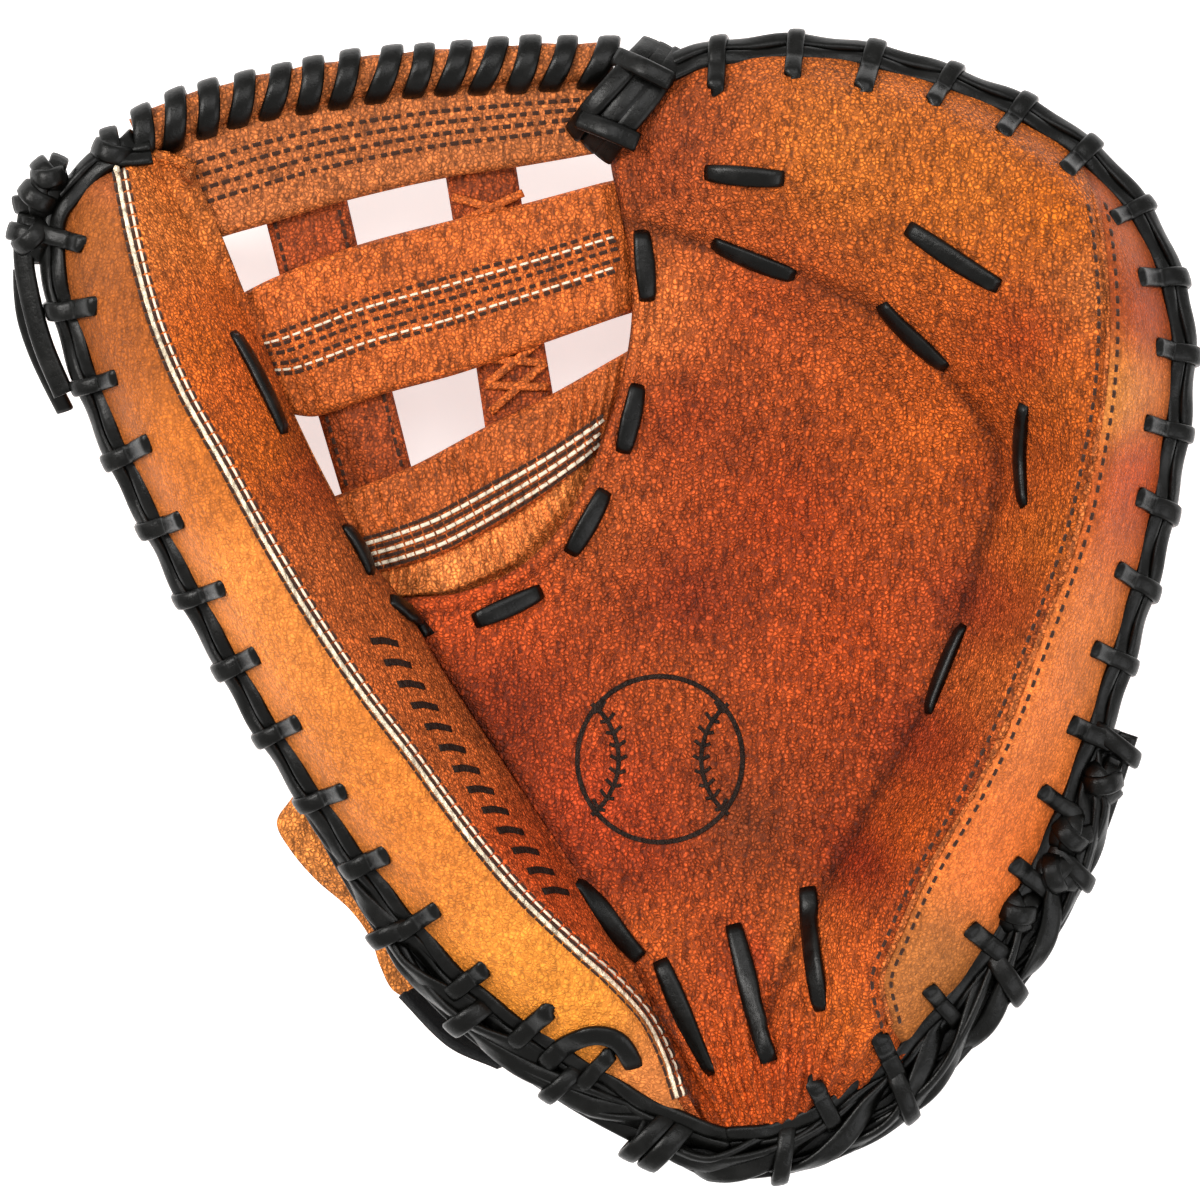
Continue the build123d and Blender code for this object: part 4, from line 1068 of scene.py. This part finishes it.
BINDING = [(-111.5, 112), (-100.8, 117), (-80, 122.8), (-55.7, 127), (-28, 129.3), (2, 130)]
BINDING_Z = WEB_Z - 0.5
line = trace(BINDING, spacing=1.2)
ring = np.linspace(0, 2 * pi, 25)[:-1]
tangent = unit(np.gradient(line, axis=0))
side = np.c_[-tangent[:, 1], tangent[:, 0], np.zeros(len(line))]
sag = web_sag(line[:, 0], line[:, 1])
centre = np.c_[line, BINDING_Z - sag]
wobble = 1 + 0.04 * np.sin(np.arange(len(line)) * 0.55)
rings = (centre[:, None] + 4.9 * wobble[:, None, None] * np.cos(ring)[None, :, None] * side[:, None]
         + 4.2 * np.sin(ring)[None, :, None] * np.array((0, 0, 1.0)))
faces = strap_faces(len(line), 24, 0, False)
make("web_binding_roll", rings.reshape(-1, 3), faces, top_bar_leather, "crease",
     ["web_top_binding"])

WRAP_COUNT = 14
wrap_runs = []
stops = np.linspace(1, len(line) - 3, WRAP_COUNT).astype(int)
for k, stop in enumerate(stops):
    turn = np.linspace(0, 2 * pi, 41)[:-1]
    lean = 2.4 + 0.5 * np.sin(k * 2.1)
    fit = 6.0 + 0.3 * np.sin(k * 1.3)
    path = (centre[stop] + np.outer(fit * np.cos(turn), side[stop])
            + np.outer((fit - 0.5) * np.sin(turn), (0, 0, 1))
            + np.outer(lean * np.cos(turn), (*tangent[stop], 0)))
    normals = np.outer(np.cos(turn), side[stop]) + np.outer(np.sin(turn), (0, 0, 1))
    path += np.outer(0.9 * np.sin(turn) ** 2, (*tangent[stop], 0))
    wrap_runs.append((path, normals, 5.3 + 0.4 * np.sin(k * 3.1), True))
straps("web_spiral_lace", wrap_runs, 1.7, lace_black, "crease",
       ["web_top_lace"])

# ---- Laces on the front's face ------------------------------------------------------

def lace_bridge(start, end, width):
    """A lace that comes up through one hole, lies on the leather and goes down another."""
    start, end = np.array(start, float), np.array(end, float)
    f = np.linspace(0, 1, 15)
    line = start + f[:, None] * (end - start)
    normals = face_normal(line[:, 0], line[:, 1])
    lift = 1.5 * np.sin(pi * f) ** 0.35 - 0.5
    place = np.c_[line, front_height(line[:, 0], line[:, 1])] + normals * lift[:, None]
    return place, normals, width * (0.8 + 0.2 * np.sin(pi * f)), False


def laces(name, runs, body, *nodes):
    """A piece of black lace, which stands for the CAD nodes named."""
    return straps(name, runs, LACE_THICK, lace_black, body, nodes)


def bridges(name, node, body, pairs, width=LACE_WIDTH):
    laces(name, [lace_bridge(a, b, width) for a, b in pairs], body, node)


bridges("web_side_laces", "web_palm_lace", "palm",
        [((10, 89), (11.4, 73)), ((9, 52), (5.6, 36.5)), ((1, 26.5), (-7, 12)),
         ((-30, -4.5), (-14.5, 2.5))])
bridges("pocket_laces", "pocket_lace", "palm",
        [((25.5, 102.6), (43.5, 101)), ((73.5, 89), (94.5, 75)), ((27.5, 86.3), (46.5, 78.5)),
         ((67.5, 71.2), (83, 56.5))])
bridges("finger_wall_laces", "finger_anchor_lace", "palm",
        [((101, 47), (101.3, 23)), ((87.6, -5.8), (79.2, -26.6))], 4.0)
bridges("heel_laces", "heel_anchor_lace", "crease",
        [((-5.5, -67.5), (9.5, -85.5)), ((14.5, -86.5), (26.8, -113.5)),
         ((32.2, -78), (40.5, -110)), ((50, -69), (52.8, -97.5))], 5.2)
bridges("thumb_side_laces", "web_thumb_lace", "crease",
        [((-87.8, 64.5), (-75.6, 40.5)), ((-61, 18), (-55, 7)), ((-50, 0.5), (-41.5, -7.5))], 4.6)

# ---- Lace round the edge ------------------------------------------------------------

def edge_frame(line):
    """Traced points of the edge, with unit directions along it and inward."""
    line = trace(line)
    tangent = unit(np.gradient(line, axis=0))
    return line, tangent, np.c_[-tangent[:, 1], tangent[:, 0]]


def edge_strands(line, seed):
    """Two flat strands that run side by side along the rim and dip at each hole."""
    line, _, inward = edge_frame(line)
    along = np.arange(len(line)) * 1.0
    runs = []
    for offset, height, tilt, width in ((3.0, 3.0, 1.25, 3.7), (-0.2, 1.2, 0.75, 3.9)):
        sway = 0.3 * np.sin(2 * pi * along / LOOP_STEP + seed)
        bob = 0.45 * np.cos(2 * pi * along / LOOP_STEP + seed + offset)
        place = np.c_[line + inward * (offset + sway)[:, None], EDGE_Z + height + bob]
        turn = tilt + 0.2 * np.sin(2 * pi * along / 31 + seed + offset)
        normals = np.c_[-inward * np.cos(turn)[:, None], np.sin(turn)]
        runs.append((place, normals, width, False))
    place = np.c_[line + inward * 0.6, np.full(len(line), EDGE_Z - 1.4)]
    runs.append((place, np.c_[-inward, np.full(len(line), -0.4)], 4.0, False))
    return runs


def edge_loops(line, start, stop_short):
    """Loops that come up through the front, over the rim and down through the back."""
    line, tangent, inward = edge_frame(line)
    runs = []
    for k, at in enumerate(np.arange(start, len(line) - stop_short, LOOP_STEP)):
        i = int(at)
        base, ahead, inner = line[i], tangent[i], inward[i]
        reach = LOOP_REACH + 2.6 + 0.7 * np.sin(k * 2.7)
        spots = np.array([base + inner * d for d in (reach, reach - 1.6, reach - 3.4, 4.2)])
        rise = front_height(spots[:, 0], spots[:, 1])
        lean = 1.5 + 0.8 * np.sin(k * 1.7)
        profile = [(reach + 0.9, rise[0] - 0.9, 0.9), (reach, rise[0] + 0.7, 0.8),
                   (reach - 1.6, rise[1] + 1.5, 0.65), (reach - 3.4, rise[2] + 1.5, 0.45),
                   (4.2, max(rise[3] + 1.3, EDGE_Z + 5.6), 0.25),
                   (0.8, EDGE_Z + 4.6, 0.0), (-1.7, EDGE_Z + 2.6, -0.35),
                   (-2.3, EDGE_Z - 1, -0.6), (-1.2, EDGE_Z - 4.4, -0.8),
                   (1.8, EDGE_Z - 5.4, -1.0), (4.6, EDGE_Z - 7.0, -1.0)]
        path = np.array([(*(base + inner * d + ahead * lean * s), z) for d, z, s in profile])
        path = trace(path, spacing=0.8)
        hub = np.array((*(base + inner * 1.4), EDGE_Z))
        normals = path - hub
        normals -= np.outer(normals @ np.array((*ahead, 0)), (*ahead, 0))
        normals = unit(normals)
        depth = (path - hub) @ np.array((*inner, 0))
        flat = (np.clip((depth - 0.5) / 3, 0, 1) * (path[:, 2] > EDGE_Z))[:, None]
        normals = normals * (1 - flat) + flat * np.array((*(-0.5 * inner), 1.0))
        runs.append((path, normals, 4.4 + 0.4 * np.sin(k * 2.3), False))
    return runs


laces("thumb_edge_strands", edge_strands(THUMB_LACE, 0.4), "crease", "thumb_edge_lace")
laces("finger_edge_strands", edge_strands(FINGER_LACE, 1.9), "palm", "finger_edge_lace")
laces("thumb_rim_loops", edge_loops(THUMB_LACE[3:], 6, 24), "crease", "thumb_edge_loops")
laces("finger_rim_loops", edge_loops(FINGER_LACE, 26, 10), "palm", "finger_edge_loops")


def braid(line, strands, reach, tall, pitch, shift, taper=18):
    """A loose bundle: strands that weave over and under each other along a line."""
    line, _, inward = edge_frame(line)
    along = np.arange(len(line)) * 1.0
    runs = []
    for k in range(strands):
        phase = 2 * pi * (along / pitch + k / strands) + 0.5 * np.sin(along / 19 + 2 * k)
        fade = np.clip(np.minimum(along / taper, along[::-1] / 18), 0.2, 1)
        offset = (shift + reach * np.sin(phase)) * fade
        height = EDGE_Z - 0.5 + tall * np.cos(phase) * fade
        place = np.c_[line + inward * offset[:, None], height]
        turn = 0.75 + 0.6 * np.sin(phase * 2 + k)
        normals = np.c_[-inward * np.cos(turn)[:, None], np.sin(turn)]
        runs.append((place, normals, 5.2, False))
    for offset in (shift - reach * 0.75, shift, shift + reach * 0.75):
        drift = offset * np.clip(along / taper, 0.2, 1)[:, None]
        place = np.c_[line + inward * drift, EDGE_Z - 2.2 + 0.4 * np.sin(along / 9 + offset)]
        runs.append((place, facing(UP, line), 5.0, False))
    return runs


HEEL_LEFT = [(-70, -47), (-58, -65), (-48, -78), (-31, -97), (-5, -115.5), (16, -127)]
HEEL_RIGHT = [(10, -125), (22, -130), (36, -131), (52, -127.6), (67, -119), (80, -106.5),
              (101, -80), (114, -54), (122, -30)]


def wraps(line, stops, across, tall, shift, lean=1.5):
    """Single turns of lace that hold the bundle together."""
    line, tangent, inward = edge_frame(line)
    runs = []
    for k, stop in enumerate(stops):
        i = int(stop * (len(line) - 1))
        turn = np.linspace(0, 2 * pi, 37)[:-1]
        aside, ahead = np.array((*inward[i], 0)), np.array((*tangent[i], 0))
        centre = np.array((*(line[i] + inward[i] * shift), EDGE_Z - 0.8))
        path = (centre + np.outer(across * np.cos(turn), aside)
                + np.outer(tall * np.sin(turn), (0, 0, 1)) + np.outer(lean * np.cos(turn), ahead))
        normals = np.outer(np.cos(turn) / across, aside) + np.outer(np.sin(turn) / tall, (0, 0, 1))
        runs.append((path, normals, 4.6 + 0.5 * np.sin(k * 2), True))
    return runs


laces("thumb_heel_strands", braid(HEEL_LEFT, 4, 3.2, 2.4, 71, -1.8, taper=45)
      + wraps(HEEL_LEFT, (0.32, 0.55, 0.78), 5.8, 4.6, -1.8), "crease", "thumb_heel_lace")
laces("heel_strands", braid(HEEL_RIGHT, 6, 4.4, 2.9, 83, -2.2)
      + wraps(HEEL_RIGHT, (0.02, 0.05, 0.21, 0.4, 0.62, 0.8, 0.985), 7.0, 5.2, -2.2, 2.5),
      "crease", "heel_lace")


def knot(centre, angle, spread=6.0):
    """A lace knot: short turns of lace that cross over each other and tuck under."""
    runs = []
    for k, (turn, size) in enumerate(((0, 1), (70, 0.86), (128, 0.72))):
        spin = radians(angle + turn)
        ahead, aside = np.array((cos(spin), sin(spin), 0)), np.array((-sin(spin), cos(spin), 0))
        half = spread * size
        f = np.linspace(-1, 1, 17)[:, None]
        drop = 3.4 * np.abs(f) ** 2.6
        path = (np.array(centre) + half * f * ahead + 1.1 * (k - 1) * aside * (1 - f ** 2)
                + (0.9 * k - drop) * np.array((0, 0, 1.0)))
        normals = np.hstack((f * ahead[:2] * 0.9, 0.8 - 0.3 * np.abs(f)))
        runs.append((path, normals, 4.6, False))
    return runs


laces("finger_side_knots", knot((109.5, -65, EDGE_Z + 4.6), -25)
      + knot((100, -74, EDGE_Z + 5), 40) + knot((120.5, -43, EDGE_Z + 3.6), 60)
      + knot((113, -55.5, EDGE_Z + 5), 5), "palm", "finger_knot")
arch = trace([(-13.5, -111.5), (-8.5, -106.5), (-1.5, -103.6), (4.5, -105.2), (8.6, -112)], 25)
arch_height = np.maximum(front_height(arch[:, 0], arch[:, 1]) + 1.3, EDGE_Z + 4.6)
arch_height -= np.linspace(-1, 1, 25) ** 6 * 3.5
laces("thumb_heel_arch", [(np.c_[arch, arch_height], face_normal(arch[:, 0], arch[:, 1]), 5.0,
                           False)], "thumb")
tip_link = trace([(-137.5, 93, 50), (-138.6, 84, 49.5), (-137.2, 74, 49), (-134, 62, 48.5),
                  (-129, 50, 48)], spacing=1.0)
tip_run = (tip_link, facing((-0.4, 0.1, 1.0), tip_link), 5.2, False)
laces("thumb_tip_knots", [tip_run] + knot((-134.8, 97.5, EDGE_Z + 3.4), 18)
      + knot((-136.8, 88, EDGE_Z + 3.4), 95) + knot((-132.5, 102.5, EDGE_Z + 3.4), 60, 5)
      + knot((-117, 108.5, EDGE_Z + 3), 35), "thumb", "thumb_tip_knot")

crotch_runs = []
for k, shift in enumerate((-3.6, 0.2, 3.6)):
    path = trace([(-3 + shift, 110 - 0.8 * shift, 47.0), (1.5 + shift, 115.5 - 0.8 * shift, 53.5),
                  (8 + shift, 123 - 0.7 * shift, 54.5), (13 + shift, 129.5 - 0.5 * shift, 51.5),
                  (16 + shift, 133.5 - 0.4 * shift, 46.5)], spacing=1.0)
    normals = facing((-0.2 + 0.2 * k, 0.2, 1.0), path)
    crotch_runs.append((path, normals, 5.2, False))
for low, high in (((-5, 116, 52.5), (9, 110, 55.5)), ((4, 131, 52.0), (17, 124.5, 57))):
    path = trace([low, (np.add(low, high) / 2 + (0, 0, 2.4)), high], spacing=1.0)
    crotch_runs.append((path, facing((0, 0.1, 1.0), path), 4.8, False))
laces("crotch_laces", crotch_runs, "palm", "crotch_lace")

# The loose end of the lace at the thumb's tip: its route is the same as in the CAD part.
TAIL_ROUTE = [(-139.2, 80.0, 47.0), (-139.4, 71.5, 45.6), (-136.6, 61.6, 42.4),
              (-132.8, 52.8, 38.4), (-129.8, 46.6, 34.4)]
tail_curve = bpy.data.curves.new("lace_tail_route", "CURVE")
tail_curve.dimensions = "3D"
spline = tail_curve.splines.new("NURBS")
spline.points.add(len(TAIL_ROUTE) - 1)
for point, place in zip(spline.points, TAIL_ROUTE):
    point.co = (*(c * MM for c in place), 1)
spline.order_u = 3
spline.use_endpoint_u = True
tail_curve.resolution_u = 12
route = bpy.data.objects.new("lace_tail_route", tail_curve)
tail_line = np.array([v.co for v in bpy.data.meshes.new_from_object(route).vertices]) / MM
bpy.data.objects.remove(route)
tail_normals = facing((-0.3, 0.1, 1.0), tail_line)
tail = laces("lace_tail_end", [(tail_line, tail_normals, 4.4, False)], "thumb", "lace_tail")

# ---- Wrist strap --------------------------------------------------------------------

TAB_LOW = np.array((75.7, -92.7, 3.0))
TAB_ACROSS = unit(np.array((0.65, 0.76, 0.0)))
TAB_ALONG = unit(np.array((0.309, -0.264, 0.914)))
TAB_IN = np.cross(TAB_ALONG, TAB_ACROSS)


def tab_slab(name, node, body, start, length, width, low, thick, surface):
    """A rounded sheet parallel to the closing tab, `low` towards the mitt from it."""
    f = np.linspace(0, 1, 40)[:, None] * np.ones((1, 26))
    a = np.linspace(-1, 1, 26)[None] * np.ones((40, 1))
    corner = 4.0
    from_end = np.minimum(f, 1 - f) * length
    narrow = width / 2 - corner + corner * rounded(from_end, corner)
    edge = rounded(np.minimum((1 - np.abs(a)) * width / 2, from_end + 0.01), 1.2)
    base = (TAB_LOW + (start + f * length)[..., None] * TAB_ALONG
            + (a * narrow)[..., None] * TAB_ACROSS)
    half = thick / 2 * (0.25 + 0.75 * edge)
    outer = base + (low + thick / 2 - half)[..., None] * TAB_IN
    inner = base + (low + thick / 2 + half)[..., None] * TAB_IN
    slab(name, inner, outer, surface, body, [node])


tab_slab("closing_tab", "strap_tab", "strap", 0, 30, 22, 0, 2.4, strap_leather)
tab_slab("hook_patch_tape", "hook_patch", "strap", 5, 21, 16, 2.4, 1.0, tape)
tab_slab("loop_patch_tape", "loop_patch", "palm", 5, 21, 16, 3.8, 1.0, tape)
tab_slab("wrist_band_end", "wrist_band", "palm", -1.2, 33, 25, 5.0, 3.4, strap_leather)
fold_stops = ((2, 6.4), (-0.6, 5.6), (-1.5, 4.0), (-1.6, 2.4), (-0.75, 1.0))
fold_path = np.array([TAB_LOW + along * TAB_ALONG + depth * TAB_IN for along, depth in fold_stops])
fold_path = trace(fold_path, spacing=0.5)
straps("closing_tab_fold", [(fold_path, fold_path - (TAB_LOW + 1.6 * TAB_ALONG + 3.4 * TAB_IN),
                             20, False)], 1.1, strap_leather, "palm")
tab_stitch_runs = []
for sign in (-1, 1):
    for k in range(8):
        a = TAB_LOW + (3 + 3.1 * k) * TAB_ALONG + sign * 9.2 * TAB_ACROSS - 0.15 * TAB_IN
        path = a + np.outer(np.linspace(0, 2.0, 3), TAB_ALONG)
        tab_stitch_runs.append((path, facing(-TAB_IN, path), 0.8, False))
straps("closing_tab_stitches", tab_stitch_runs, 0.5, pale_thread, "strap")

# ---- Generic stamps -----------------------------------------------------------------

BALL_MARK = (14.5, -38.0)
BALL_MARK_RADIUS = 20.0


def stamp_line(line, width, lift=0.12):
    place, normals = on_front(line, lift, 0.8)
    return place, normals, width, False


circle = np.linspace(0, 2 * pi, 61)
rim_line = np.c_[BALL_MARK[0] + BALL_MARK_RADIUS * np.cos(circle),
                 BALL_MARK[1] + BALL_MARK_RADIUS * np.sin(circle)]
stamp_runs = [stamp_line(rim_line, 1.2)]
for sign in (-1, 1):
    swing = np.radians(np.linspace(-52, 52, 21))
    centre_x = BALL_MARK[0] - sign * 27
    seam = np.c_[centre_x + sign * 17 * np.cos(swing), BALL_MARK[1] + 17 * np.sin(swing)]
    stamp_runs.append(stamp_line(seam, 1.1))
    for angle in np.radians(np.arange(-44, 45, 11)):
        middle = np.array((centre_x + sign * 17 * cos(angle), BALL_MARK[1] + 17 * sin(angle)))
        outward = np.array((sign * cos(angle), sin(angle)))
        slant = np.array((0, 0.9))
        stamp_runs.append(stamp_line([middle - 2.0 * outward + slant, middle,
                                      middle + 2.0 * outward + slant], 0.9))
straps("pocket_stamp", stamp_runs, 0.3, ink, "crease")

panel_runs = []
for k, u in enumerate(np.linspace(62, 134, 13)):
    v = 0.48 * float(thumb_rows(u)[0][0])
    start, end = plan(u - 1.8, v - 2.4), plan(u + 1.8, v + 2.4)
    panel_runs.append(stamp_line([start, (start + end) / 2 + 0.6 * fold_axis, end], 1.8))
straps("thumb_panel_stamp", panel_runs, 0.3, ink, "crease")

# ---- Floor, lights and camera -------------------------------------------------------

floor_surface, floor_shader, node, link = material("floor", 0.85, 0.2)
floor_noise = node("ShaderNodeTexNoise", Scale=3.0, Detail=2.0).outputs["Fac"]
pale = grey(node, ranged(node, floor_noise, 0.0, 1.0, 0.86, 0.9))
link(pale, floor_shader.inputs["Base Color"])
floor_shader.inputs["Emission Color"].default_value = (1, 1, 1, 1)
floor_shader.inputs["Emission Strength"].default_value = 0.6
bpy.ops.mesh.primitive_plane_add(size=6, location=(0, 0, -0.0002))
floor = bpy.context.object
floor.name = "floor"
floor.data.materials.append(floor_surface)

world = bpy.data.worlds.new("studio")
bpy.context.scene.world = world
world.use_nodes = True
world.node_tree.nodes["Background"].inputs[0].default_value = (1.0, 0.99, 0.97, 1)
world.node_tree.nodes["Background"].inputs[1].default_value = 0.75


def light(name, location, target, size, power, colour=(1, 1, 1)):
    data = bpy.data.lights.new(name, "AREA")
    data.size, data.energy, data.color = size, power, colour
    lamp = bpy.data.objects.new(name, data)
    lamp.location = location
    aim = Vector(target) - Vector(location)
    lamp.rotation_euler = aim.to_track_quat("-Z", "Y").to_euler()
    bpy.context.collection.objects.link(lamp)


light("key", (-0.9, 0.45, 1.1), (0, 0, 0.03), 0.5, 16, (1, 0.98, 0.95))
light("fill", (0.9, -0.6, 1.0), (0, 0, 0.03), 0.9, 6, (0.97, 0.98, 1))
light("top", (0.1, 0.6, 1.5), (0, 0, 0.03), 0.8, 8)

FRAME_WIDTH = 0.288
camera_data = bpy.data.cameras.new("camera")
camera_data.lens, camera_data.sensor_width = 200, 36
camera = bpy.data.objects.new("camera", camera_data)
distance = FRAME_WIDTH / 2 / (camera_data.sensor_width / 2 / camera_data.lens)
camera.location = (0, 0.0005, EDGE_Z * MM + 0.004 + distance)
camera_data.clip_start, camera_data.clip_end = 0.05, 20
bpy.context.collection.objects.link(camera)
bpy.context.scene.camera = camera
bpy.context.scene.view_settings.view_transform = "Standard"
